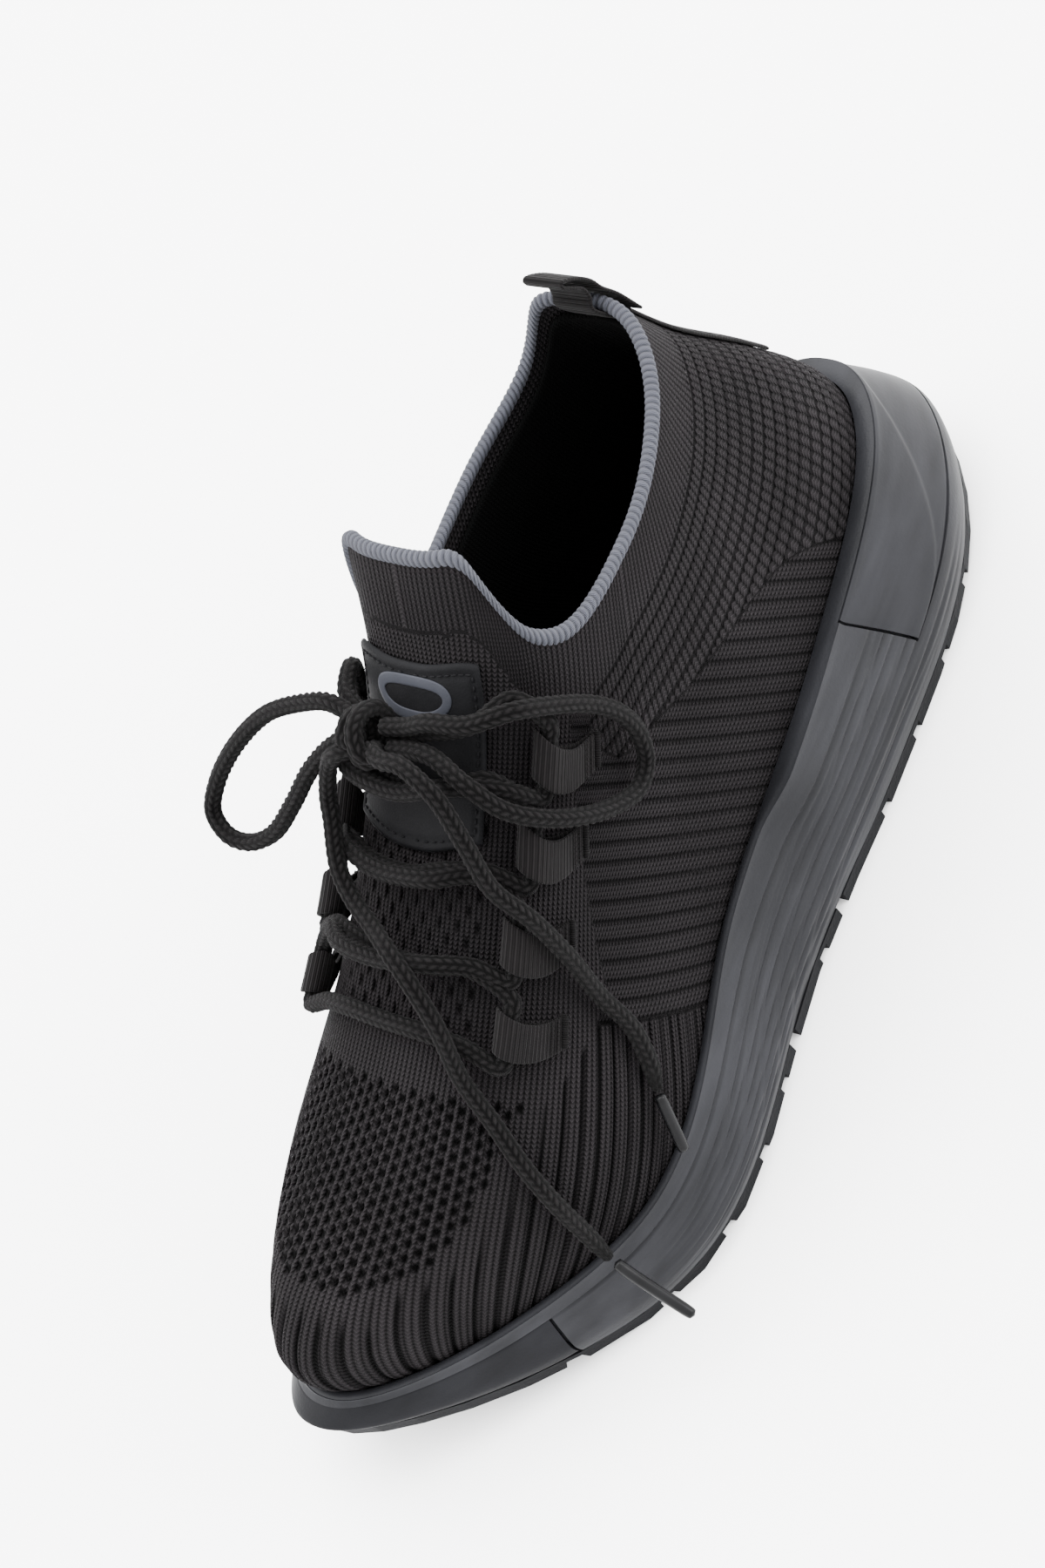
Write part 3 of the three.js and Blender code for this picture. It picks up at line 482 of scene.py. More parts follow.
def weld(mesh):
    """Welds seams and closed ends, and turns the faces outwards."""
    bm = bmesh.new()
    bm.from_mesh(mesh)
    bmesh.ops.remove_doubles(bm, verts=bm.verts, dist=WELD_DISTANCE)
    bmesh.ops.dissolve_degenerate(bm, dist=SPLINTER, edges=bm.edges)
    open_edges = [edge for edge in bm.edges if edge.is_boundary]
    if open_edges:
        ends = bmesh.ops.holes_fill(bm, edges=open_edges, sides=0)
        bmesh.ops.triangulate(bm, faces=ends["faces"])
    bmesh.ops.recalc_face_normals(bm, faces=bm.faces)
    bm.to_mesh(mesh)
    bm.free()


def add_piece(name, mesh, body):
    """Puts a finished mesh in the scene, smooth-shaded and on its body."""
    mesh.polygons.foreach_set("use_smooth", np.ones(len(mesh.polygons), bool))
    piece = bpy.data.objects.new(name, mesh)
    bpy.context.scene.collection.objects.link(piece)
    if body:
        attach(piece, body)
    return piece


def join_meshes(name, pieces, body="shoe"):
    """Puts several meshes into one piece."""
    bm = bmesh.new()
    for piece in pieces:
        bm.from_mesh(piece.data)
    mesh = bpy.data.meshes.new(name)
    bm.to_mesh(mesh)
    bm.free()
    for piece in pieces:
        data = piece.data
        bpy.data.objects.remove(piece)
        bpy.data.meshes.remove(data)
    return add_piece(name, mesh, body)


def give(piece, material):
    piece.data.materials.clear()
    piece.data.materials.append(material)


def sharpen(piece, degrees):
    """Keeps crisp the edges that turn by more than an angle."""
    bm = bmesh.new()
    bm.from_mesh(piece.data)
    limit = math.radians(degrees)
    for edge in bm.edges:
        if len(edge.link_faces) == 2 and edge.calc_face_angle(0) > limit:
            edge.smooth = False
    bm.to_mesh(piece.data)
    bm.free()


def slab(name, angles, heights, outside, inside):
    """A closed panel between two faces, functions of angle and height, closed at mid-thickness."""
    a, h = np.meshgrid(angles, heights)
    out, back = outside(a, h), inside(a, h)
    rows = np.concatenate([out, back[::-1], out[:1]])
    middle_out = (out + back) / 2
    middle = np.concatenate([middle_out, middle_out[::-1], middle_out[:1]])
    rows = np.concatenate([middle[:, :1], rows, middle[:, -1:]], axis=1)
    return lay_grid(name, rows)


def frames_along(path):
    """Two directions across a path at each of its points, carried along it without twist."""
    ahead = unit(np.gradient(path, axis=0))
    side = np.empty_like(path)
    seed = np.array([0.0, 0.0, 1.0]) if abs(ahead[0][2]) < 0.9 else np.array([1.0, 0.0, 0.0])
    side[0] = unit(np.cross(ahead[0], seed))
    for i in range(1, len(path)):
        side[i] = unit(side[i - 1] - ahead[i] * np.dot(side[i - 1], ahead[i]))
    return side, np.cross(ahead, side)


def tube(name, path, along, radius, sides, relief, body="shoe"):
    """A closed tube on a path; relief(turn, along) is how far its face lies inside the radius."""
    side, up = frames_along(path)
    turn = np.linspace(0, 2 * math.pi, sides + 1)
    t, s = np.meshgrid(turn, along)
    reach = radius - relief(t, s)
    ends = np.minimum(s - along[0], along[-1] - s)
    crown = np.clip(ends / (0.6 * radius), 0, 1)
    reach = reach * np.sqrt(np.clip(1 - (1 - crown) ** 2, 0, 1))
    rows = (path[:, None] + side[:, None] * (reach * np.cos(t))[..., None]
            + up[:, None] * (reach * np.sin(t))[..., None])
    texture = np.stack([t / (2 * math.pi), s], -1)
    # Painted shade: the colour is darkened where the face lies inside the radius, as in the braid's
    # hollows.
    return lay_grid(name, rows, texture, relief(t, s) / (0.1 * radius), body=body)


BRAID_STRANDS = 8
BRAID_PITCH = 2.1
BRAID_RELIEF = 0.48
BRAID_SIDES = 32
BRAID_STEP = 0.42
BRAID_FULLNESS = 0.06
TIP_SQUEEZE = 0.75
TIP_SQUEEZE_LENGTH = 7


def braid(turn, along):
    """Strands of a round braid, leaning left and right in turn."""
    carrier = turn * BRAID_STRANDS / (2 * math.pi)
    lane = np.floor(carrier).astype(int) % 2
    across = carrier - np.floor(carrier) - 0.5
    lean = np.where(lane == 0, 1, -1)
    beat = along / BRAID_PITCH + lean * across * 0.8 + 0.5 * lane
    bulge = np.abs(np.cos(math.pi * beat)) ** 0.8 * np.cos(math.pi * across) ** 0.5
    return BRAID_RELIEF * (1 - bulge)


def lace(name, points, taper=False):
    """A length of the braided lace, drawn in at its far end where a tip grips it."""
    path, along = smooth_path(points, BRAID_STEP)

    def relief(turn, run):
        squeeze = smooth(run, along[-1] - TIP_SQUEEZE_LENGTH, along[-1]) if taper else 0
        return braid(turn, run) + TIP_SQUEEZE * squeeze

    radius = LACE_RADIUS + BRAID_FULLNESS
    return tube(name, path, along, radius, BRAID_SIDES, relief), path


# ---------------------------------------------------------------- materials


def spread(nodes_in_order, left, step, height):
    """Sets out nodes from left to right."""
    for i, node in enumerate(nodes_in_order):
        node.location = (left + step * i, height)


def knit_material(name, colour, highlight, wale, course, strength):
    """Knitted yarn: small V stitches in columns, a painted highlight on the yarn tops, and painted
    shade between ribs and in holes.
    """
    material = bpy.data.materials.new(name)
    material.use_nodes = True
    tree = material.node_tree
    tree.nodes.clear()
    nodes, links = tree.nodes, tree.links
    output = nodes.new("ShaderNodeOutputMaterial")
    output.label = "Surface of the piece"
    output.location = (700, 0)
    surface = nodes.new("ShaderNodeBsdfPrincipled")
    surface.label = "The finish itself"
    surface.location = (400, 0)
    links.new(surface.outputs["BSDF"], output.inputs["Surface"])
    place = nodes.new("ShaderNodeUVMap")
    place.label = "Millimetres over the knit"
    place.uv_map = "surface"
    split = nodes.new("ShaderNodeSeparateXYZ")
    split.label = "Across and up the knit"
    wales = nodes.new("ShaderNodeMath")
    wales.label = "Columns of stitches"
    wales.operation = "DIVIDE"
    wales.inputs[1].default_value = wale
    column = nodes.new("ShaderNodeMath")
    column.label = "Place inside a column"
    column.operation = "FRACT"
    centred = nodes.new("ShaderNodeMath")
    centred.label = "Distance from the column's middle"
    centred.operation = "SUBTRACT"
    centred.inputs[1].default_value = 0.5
    leg = nodes.new("ShaderNodeMath")
    leg.label = "Two legs of a stitch"
    leg.operation = "ABSOLUTE"
    courses = nodes.new("ShaderNodeMath")
    courses.label = "Rows of stitches"
    courses.operation = "DIVIDE"
    courses.inputs[1].default_value = course
    lean = nodes.new("ShaderNodeMath")
    lean.label = "Legs lean up to a V"
    lean.operation = "MULTIPLY_ADD"
    lean.inputs[1].default_value = -1.3
    beat = nodes.new("ShaderNodeMath")
    beat.label = "One turn for each row"
    beat.operation = "MULTIPLY"
    beat.inputs[1].default_value = 2 * math.pi
    wave = nodes.new("ShaderNodeMath")
    wave.label = "Yarn rises and dips"
    wave.operation = "SINE"
    square = nodes.new("ShaderNodeMath")
    square.label = "Distance from the middle, squared"
    square.operation = "POWER"
    square.inputs[1].default_value = 2
    rounded = nodes.new("ShaderNodeMath")
    rounded.label = "Yarn falls away between columns"
    rounded.operation = "MULTIPLY_ADD"
    rounded.inputs[1].default_value = -4
    rounded.inputs[2].default_value = 1
    yarn = nodes.new("ShaderNodeMath")
    yarn.label = "Height of the yarn"
    yarn.operation = "MULTIPLY_ADD"
    yarn.inputs[1].default_value = 0.28
    links.new(place.outputs["UV"], split.inputs["Vector"])
    links.new(split.outputs["X"], wales.inputs[0])
    links.new(wales.outputs[0], column.inputs[0])
    links.new(column.outputs[0], centred.inputs[0])
    links.new(centred.outputs[0], leg.inputs[0])
    links.new(split.outputs["Y"], courses.inputs[0])
    links.new(leg.outputs[0], lean.inputs[0])
    links.new(courses.outputs[0], lean.inputs[2])
    links.new(lean.outputs[0], beat.inputs[0])
    links.new(beat.outputs[0], wave.inputs[0])
    links.new(leg.outputs[0], square.inputs[0])
    links.new(square.outputs[0], rounded.inputs[0])
    links.new(wave.outputs[0], yarn.inputs[0])
    links.new(rounded.outputs[0], yarn.inputs[2])
    spread([place, split, wales, column, centred, leg, lean, beat, wave, yarn], -2300, 180, 300)
    spread([courses, square, rounded], -1400, 180, 120)
    stitches = nodes.new("NodeFrame")
    stitches.label = "Knitted stitches"
    for node in (place, split, wales, column, centred, leg, courses, lean, beat, wave, square,
                 rounded, yarn):
        node.parent = stitches

    fuzz = nodes.new("ShaderNodeTexNoise")
    fuzz.label = "Loose fibres"
    fuzz.inputs["Scale"].default_value = 900
    fuzz.inputs["Detail"].default_value = 3
    mottle = nodes.new("ShaderNodeTexNoise")
    mottle.label = "Uneven dye over the shoe"
    mottle.inputs["Scale"].default_value = 38
    mottle.inputs["Detail"].default_value = 4
    coordinates = nodes.new("ShaderNodeTexCoord")
    coordinates.label = "Place on the shoe"
    links.new(coordinates.outputs["Object"], fuzz.inputs["Vector"])
    links.new(coordinates.outputs["Object"], mottle.inputs["Vector"])
    spread([coordinates, fuzz, mottle], -1400, 200, -200)
    fibres = nodes.new("NodeFrame")
    fibres.label = "Fibres and dye"
    for node in (coordinates, fuzz, mottle):
        node.parent = fibres

    lit = nodes.new("ShaderNodeMapRange")
    lit.label = "Top of the yarn catches light"
    lit.inputs["From Min"].default_value = 0.05
    lit.inputs["From Max"].default_value = 1.2
    tint = nodes.new("ShaderNodeMix")
    tint.label = "Yarn colour"
    tint.data_type = "RGBA"
    tint.inputs["A"].default_value = (*colour, 1)
    tint.inputs["B"].default_value = (*highlight, 1)
    # Painted shade: the colour is darkened in the knit's grooves and holes, where shade falls.
    hollow = nodes.new("ShaderNodeAttribute")
    hollow.label = "Grooves and holes of the knit"
    hollow.attribute_name = "painted_shade"
    shade = nodes.new("ShaderNodeMapRange")
    shade.label = "Dark inside them"
    shade.inputs["To Min"].default_value = 1.0
    shade.inputs["To Max"].default_value = 0.08
    uneven = nodes.new("ShaderNodeMapRange")
    uneven.label = "Slightly uneven"
    uneven.inputs["From Min"].default_value = 0.3
    uneven.inputs["From Max"].default_value = 0.7
    uneven.inputs["To Min"].default_value = 0.82
    uneven.inputs["To Max"].default_value = 1.15
    both = nodes.new("ShaderNodeMath")
    both.label = "Both together"
    both.operation = "MULTIPLY"
    final = nodes.new("ShaderNodeVectorMath")
    final.label = "Colour with its shading"
    final.operation = "SCALE"
    links.new(yarn.outputs[0], lit.inputs["Value"])
    links.new(lit.outputs["Result"], tint.inputs["Factor"])
    links.new(hollow.outputs["Fac"], shade.inputs["Value"])
    links.new(mottle.outputs["Fac"], uneven.inputs["Value"])
    links.new(shade.outputs["Result"], both.inputs[0])
    links.new(uneven.outputs["Result"], both.inputs[1])
    links.new(tint.outputs["Result"], final.inputs[0])
    links.new(both.outputs[0], final.inputs["Scale"])
    links.new(final.outputs["Vector"], surface.inputs["Base Color"])
    spread([lit, tint, final], -450, 200, 300)
    spread([hollow, shade, both], -650, 200, 80)
    uneven.location = (-450, -80)
    colouring = nodes.new("NodeFrame")
    colouring.label = "Colour"
    for node in (lit, tint, hollow, shade, uneven, both, final):
        node.parent = colouring

    rough_yarn = nodes.new("ShaderNodeMath")
    rough_yarn.label = "Yarn with its fibres"
    rough_yarn.operation = "MULTIPLY_ADD"
    rough_yarn.inputs[1].default_value = 0.5
    bump = nodes.new("ShaderNodeBump")
    bump.label = "Relief of the stitches"
    bump.inputs["Strength"].default_value = strength
    bump.inputs["Distance"].default_value = 0.0008
    links.new(fuzz.outputs["Fac"], rough_yarn.inputs[0])
    links.new(yarn.outputs[0], rough_yarn.inputs[2])
    links.new(rough_yarn.outputs[0], bump.inputs["Height"])
    links.new(bump.outputs["Normal"], surface.inputs["Normal"])
    spread([rough_yarn, bump], -250, 200, -250)
    relief = nodes.new("NodeFrame")
    relief.label = "Relief"
    rough_yarn.parent = relief
    bump.parent = relief
    surface.inputs["Roughness"].default_value = 0.8
    surface.inputs["Sheen Weight"].default_value = 0.003
    surface.inputs["Sheen Roughness"].default_value = 0.45
    surface.inputs["Specular IOR Level"].default_value = 0.015
    return material


def thread_material(name, colour, highlight, pitch, lean, strength, sheen):
    """Fine parallel threads along a cord, tape or overlocked edge, with painted highlights on their
    tops.
    """
    material = bpy.data.materials.new(name)
    material.use_nodes = True
    tree = material.node_tree
    tree.nodes.clear()
    nodes, links = tree.nodes, tree.links
    output = nodes.new("ShaderNodeOutputMaterial")
    output.label = "Surface of the piece"
    output.location = (700, 0)
    surface = nodes.new("ShaderNodeBsdfPrincipled")
    surface.label = "The finish itself"
    surface.location = (400, 0)
    links.new(surface.outputs["BSDF"], output.inputs["Surface"])
    place = nodes.new("ShaderNodeUVMap")
    place.label = "Place along and round the piece"
    place.uv_map = "surface"
    split = nodes.new("ShaderNodeSeparateXYZ")
    split.label = "Round and along"
    slant = nodes.new("ShaderNodeMath")
    slant.label = "Threads lie aslant"
    slant.operation = "MULTIPLY_ADD"
    slant.inputs[1].default_value = lean
    count = nodes.new("ShaderNodeMath")
    count.label = "One wave for each thread"
    count.operation = "MULTIPLY"
    count.inputs[1].default_value = 2 * math.pi / pitch
    wave = nodes.new("ShaderNodeMath")
    wave.label = "Round threads"
    wave.operation = "SINE"
    links.new(place.outputs["UV"], split.inputs["Vector"])
    links.new(split.outputs["X"], slant.inputs[0])
    links.new(split.outputs["Y"], slant.inputs[2])
    links.new(slant.outputs[0], count.inputs[0])
    links.new(count.outputs[0], wave.inputs[0])
    spread([place, split, slant, count, wave], -1500, 190, 200)
    threads = nodes.new("NodeFrame")
    threads.label = "Threads"
    for node in (place, split, slant, count, wave):
        node.parent = threads

    coordinates = nodes.new("ShaderNodeTexCoord")
    coordinates.label = "Place on the shoe"
    fuzz = nodes.new("ShaderNodeTexNoise")
    fuzz.label = "Fuzz and uneven dye"
    fuzz.inputs["Scale"].default_value = 420
    fuzz.inputs["Detail"].default_value = 5
    links.new(coordinates.outputs["Object"], fuzz.inputs["Vector"])
    spread([coordinates, fuzz], -1100, 190, -100)
    fibres = nodes.new("NodeFrame")
    fibres.label = "Fibres"
    coordinates.parent = fibres
    fuzz.parent = fibres

    mixture = nodes.new("ShaderNodeMath")
    mixture.label = "Threads with fuzz"
    mixture.operation = "MULTIPLY_ADD"
    mixture.inputs[1].default_value = 0.9
    # Painted highlight: the thread tops get the lighter highlight colour.
    lit = nodes.new("ShaderNodeMapRange")
    lit.label = "Thread tops are lighter"
    lit.inputs["From Min"].default_value = -0.6
    lit.inputs["From Max"].default_value = 1.7
    tint = nodes.new("ShaderNodeMix")
    tint.label = "Thread colour"
    tint.data_type = "RGBA"
    tint.inputs["A"].default_value = (*colour, 1)
    tint.inputs["B"].default_value = (*highlight, 1)
    # Painted shade: the colour is darkened in the hollows between strands.
    hollow = nodes.new("ShaderNodeAttribute")
    hollow.label = "Hollows between strands"
    hollow.attribute_name = "painted_shade"
    shade = nodes.new("ShaderNodeMapRange")
    shade.label = "Dark between strands"
    shade.inputs["From Max"].default_value = 1.3
    shade.inputs["To Min"].default_value = 1.1
    shade.inputs["To Max"].default_value = 0.12
    final = nodes.new("ShaderNodeVectorMath")
    final.label = "Colour with its shading"
    final.operation = "SCALE"
    links.new(fuzz.outputs["Fac"], mixture.inputs[0])
    links.new(wave.outputs[0], mixture.inputs[2])
    links.new(mixture.outputs[0], lit.inputs["Value"])
    links.new(lit.outputs["Result"], tint.inputs["Factor"])
    links.new(hollow.outputs["Fac"], shade.inputs["Value"])
    links.new(tint.outputs["Result"], final.inputs[0])
    links.new(shade.outputs["Result"], final.inputs["Scale"])
    links.new(final.outputs["Vector"], surface.inputs["Base Color"])
    spread([mixture, lit, tint, final], -500, 190, 200)
    spread([hollow, shade], -300, 190, 0)
    colouring = nodes.new("NodeFrame")
    colouring.label = "Colour"
    for node in (mixture, lit, tint, hollow, shade, final):
        node.parent = colouring

    bump = nodes.new("ShaderNodeBump")
    bump.label = "Relief of the threads"
    bump.location = (150, -250)
    bump.inputs["Strength"].default_value = strength
    bump.inputs["Distance"].default_value = 0.0002
    links.new(mixture.outputs[0], bump.inputs["Height"])
    links.new(bump.outputs["Normal"], surface.inputs["Normal"])
    surface.inputs["Roughness"].default_value = 0.72
    surface.inputs["Sheen Weight"].default_value = sheen
    surface.inputs["Sheen Roughness"].default_value = 0.4
    surface.inputs["Specular IOR Level"].default_value = 0.025
    return material


def moulded_material(name, colour, worn, roughness, shine, grain, grain_strength, flow):
    """Moulded rubber, foam or plastic: fine grain, soft flow lines, a worn tone and painted shade in
    its grooves.
    """
    material = bpy.data.materials.new(name)
    material.use_nodes = True
    tree = material.node_tree
    tree.nodes.clear()
    nodes, links = tree.nodes, tree.links
    output = nodes.new("ShaderNodeOutputMaterial")
    output.label = "Surface of the piece"
    output.location = (700, 0)
    surface = nodes.new("ShaderNodeBsdfPrincipled")
    surface.label = "The finish itself"
    surface.location = (400, 0)
    links.new(surface.outputs["BSDF"], output.inputs["Surface"])
    coordinates = nodes.new("ShaderNodeTexCoord")
    coordinates.label = "Place on the shoe"
    stretch = nodes.new("ShaderNodeMapping")
    stretch.label = "Streaks run along the shoe"
    stretch.inputs["Scale"].default_value = (1, 0.16, 1.6)
    streaks = nodes.new("ShaderNodeTexNoise")
    streaks.label = "Flow lines in the mould"
    streaks.inputs["Scale"].default_value = 120
    streaks.inputs["Detail"].default_value = 6
    grains = nodes.new("ShaderNodeTexNoise")
    grains.label = "Fine grain"
    grains.inputs["Scale"].default_value = grain
    grains.inputs["Detail"].default_value = 4
    patches = nodes.new("ShaderNodeTexNoise")
    patches.label = "Handled patches"
    patches.inputs["Scale"].default_value = 26
    patches.inputs["Detail"].default_value = 5
    links.new(coordinates.outputs["Object"], stretch.inputs["Vector"])
    links.new(stretch.outputs["Vector"], streaks.inputs["Vector"])
    links.new(coordinates.outputs["Object"], grains.inputs["Vector"])
    links.new(coordinates.outputs["Object"], patches.inputs["Vector"])
    spread([coordinates, stretch, streaks], -1200, 200, 200)
    spread([grains, patches], -800, 200, -100)
    surface_marks = nodes.new("NodeFrame")
    surface_marks.label = "Marks of the mould and of wear"
    for node in (coordinates, stretch, streaks, grains, patches):
        node.parent = surface_marks

    amount = nodes.new("ShaderNodeMath")
    amount.label = "Streaks with patches"
    amount.operation = "MULTIPLY"
    wear = nodes.new("ShaderNodeMapRange")
    wear.label = "How worn"
    wear.inputs["From Min"].default_value = 0.14
    wear.inputs["From Max"].default_value = 0.42
    tint = nodes.new("ShaderNodeMix")
    tint.label = "Moulded colour to worn colour"
    tint.data_type = "RGBA"
    tint.inputs["A"].default_value = (*colour, 1)
    tint.inputs["B"].default_value = (*worn, 1)
    # Painted shade: the colour is darkened in the moulded grooves.
    hollow = nodes.new("ShaderNodeAttribute")
    hollow.label = "Moulded grooves"
    hollow.attribute_name = "painted_shade"
    shade = nodes.new("ShaderNodeMapRange")
    shade.label = "Darker in the grooves"
    shade.inputs["To Min"].default_value = 1.0
    shade.inputs["To Max"].default_value = 0.55
    final = nodes.new("ShaderNodeVectorMath")
    final.label = "Colour with its shading"
    final.operation = "SCALE"
    links.new(streaks.outputs["Fac"], amount.inputs[0])
    links.new(patches.outputs["Fac"], amount.inputs[1])
    links.new(amount.outputs[0], wear.inputs["Value"])
    links.new(wear.outputs["Result"], tint.inputs["Factor"])
    links.new(hollow.outputs["Fac"], shade.inputs["Value"])
    links.new(tint.outputs["Result"], final.inputs[0])
    links.new(shade.outputs["Result"], final.inputs["Scale"])
    links.new(final.outputs["Vector"], surface.inputs["Base Color"])
    spread([amount, wear, tint, final], -500, 190, 200)
    spread([hollow, shade], -300, 190, 0)
    colouring = nodes.new("NodeFrame")
    colouring.label = "Colour"
    for node in (amount, wear, tint, hollow, shade, final):
        node.parent = colouring

    sheen = nodes.new("ShaderNodeMapRange")
    sheen.label = "Gloss changes with wear"
    sheen.inputs["To Min"].default_value = roughness - 0.07
    sheen.inputs["To Max"].default_value = roughness + 0.1
    relief = nodes.new("ShaderNodeMath")
    relief.label = "Grain with flow lines"
    relief.operation = "MULTIPLY_ADD"
    relief.inputs[1].default_value = flow
    bump = nodes.new("ShaderNodeBump")
    bump.label = "Relief of the grain"
    bump.inputs["Strength"].default_value = grain_strength
    bump.inputs["Distance"].default_value = 0.0003
    links.new(patches.outputs["Fac"], sheen.inputs["Value"])
    links.new(sheen.outputs["Result"], surface.inputs["Roughness"])
    links.new(streaks.outputs["Fac"], relief.inputs[0])
    links.new(grains.outputs["Fac"], relief.inputs[2])
    links.new(relief.outputs[0], bump.inputs["Height"])
    links.new(bump.outputs["Normal"], surface.inputs["Normal"])
    spread([sheen, relief, bump], -250, 190, -300)
    finishing = nodes.new("NodeFrame")
    finishing.label = "Gloss and relief"
    for node in (sheen, relief, bump):
        node.parent = finishing
    surface.inputs["Specular IOR Level"].default_value = shine
    return material


# ---------------------------------------------------------------- the knit's pattern

KNIT = 1.8
COLLAR_STRIP = 17
BAND_PITCH = 4.6
BAND_DEGREES = 103
BAND_END = profile([[0, 120], [40, 95], [60, 58], [95, 38], [108, 20], [180, 17]])
QUARTER_PITCH = 4.4
QUARTER_LEAN = 0.65
QUARTER_START = -5
THROAT_DEGREES = 109
THROAT_HEIGHT = 0.5
RIB_PITCH = 4.8
RIB_AXIS = (-20, 50)
RIB_SLOPE = (-0.8, -0.6)
RIB_RADIUS = 58
MESH_HALF_WIDTH = profile([[-66, 9], [-56, 23], [-40, 31], [-18, 37], [0, 43], [30, 52], [90, 60]])
MESH_START = -66
MESH_END = -17
HOLE_COLUMN = 2.65
HOLE_ROW = 3.5
HOLE_SIZE = (1.12, 1.5)
DASH_COLUMN = 2.8
DASH_ROW = 7.4
DASH_SIZE = (0.7, 1.9)
DASH_START = -7
DASH_END = 52
DASH_HALF_WIDTH = 24
# Each panel: its start and end in degrees, its low and high edge, its columns and rows.
KNIT_PANELS = [
    ("toe_outer", 90, 180, 0, 0.5, 440, 205),
    ("toe_inner", 180, 270, 0, 0.5, 440, 205),
    ("throat_outer", 90, 180, 0.5, 1, 440, 170),
    ("throat_inner", 180, 270, 0.5, 1, 440, 170),
    ("heel_outer", 0, 90, 0, 1, 330, 260),
    ("heel_inner", -90, 0, 0, 1, 330, 260),
]
TABLE_DEGREES = 3
TABLE_HEIGHTS = 50


def climb_table():
    """How far up the knit each ring lies, in millimetres, by height and by angle."""
    angles, heights = np.meshgrid(np.radians(np.arange(-180, 181, TABLE_DEGREES)),
                                  np.linspace(0, 1, TABLE_HEIGHTS + 1))
    points = upper_face(angles, heights * collar_level(angles))
    steps = np.linalg.norm(np.diff(points, axis=0), axis=-1)
    return np.concatenate([np.zeros((1, steps.shape[1])), np.cumsum(steps, axis=0)])


CLIMBED = climb_table()


def climbed(angle, height):
    """How far up the knit a place is from the foot, and how far it is below the collar."""
    around = (np.degrees(np.arctan2(np.sin(angle), np.cos(angle))) + 180) / TABLE_DEGREES
    up = np.clip(height, 0, 1) * TABLE_HEIGHTS
    i = np.clip(around.astype(int), 0, CLIMBED.shape[1] - 2)
    j = np.clip(up.astype(int), 0, TABLE_HEIGHTS - 1)
    a, b = around - i, up - j
    low = lerp(CLIMBED[j, i], CLIMBED[j, i + 1], a)
    high = lerp(CLIMBED[j + 1, i], CLIMBED[j + 1, i + 1], a)
    height_up = lerp(low, high, b)
    return height_up, lerp(CLIMBED[-1, i], CLIMBED[-1, i + 1], a) - height_up


def collar_run(angle):
    """How far a place is round the collar line."""
    angles = np.radians(np.arange(-180, 541, 2))
    points = upper_face(angles, collar_level(angles))
    run = np.concatenate([[0], np.cumsum(np.linalg.norm(np.diff(points, axis=0), axis=-1))])
    return np.interp(angle, angles, run)


def groove(place, pitch, width):
    """1 in the middle of each groove, falling to 0 at its edges."""
    share = place / pitch - np.floor(place / pitch)
    return 1 - smooth(np.minimum(share, 1 - share) * pitch, 0.1, width)


def step_rib(place, pitch):
    """A flat rib that sinks slowly from one groove to the next."""
    share = place / pitch - np.floor(place / pitch)
    return smooth(share, 0, 0.2) * (1 - share)


def holes(across, along, column, row, half_width, half_length, inside):
    """1 in the middle of each hole of a staggered pattern; inside says which holes are knitted."""
    nearest = np.rint(across / column)
    offset = np.where(nearest.astype(int) % 2 == 0, 0, row / 2)
    rank = np.rint((along - offset) / row)
    knitted = inside(nearest * column, rank * row + offset)
    reach = np.hypot((across - nearest * column) / half_width,
                     (along - offset - rank * row) / half_length)
    return np.where(knitted, 1 - smooth(reach, 0.35, 1.15), 0)


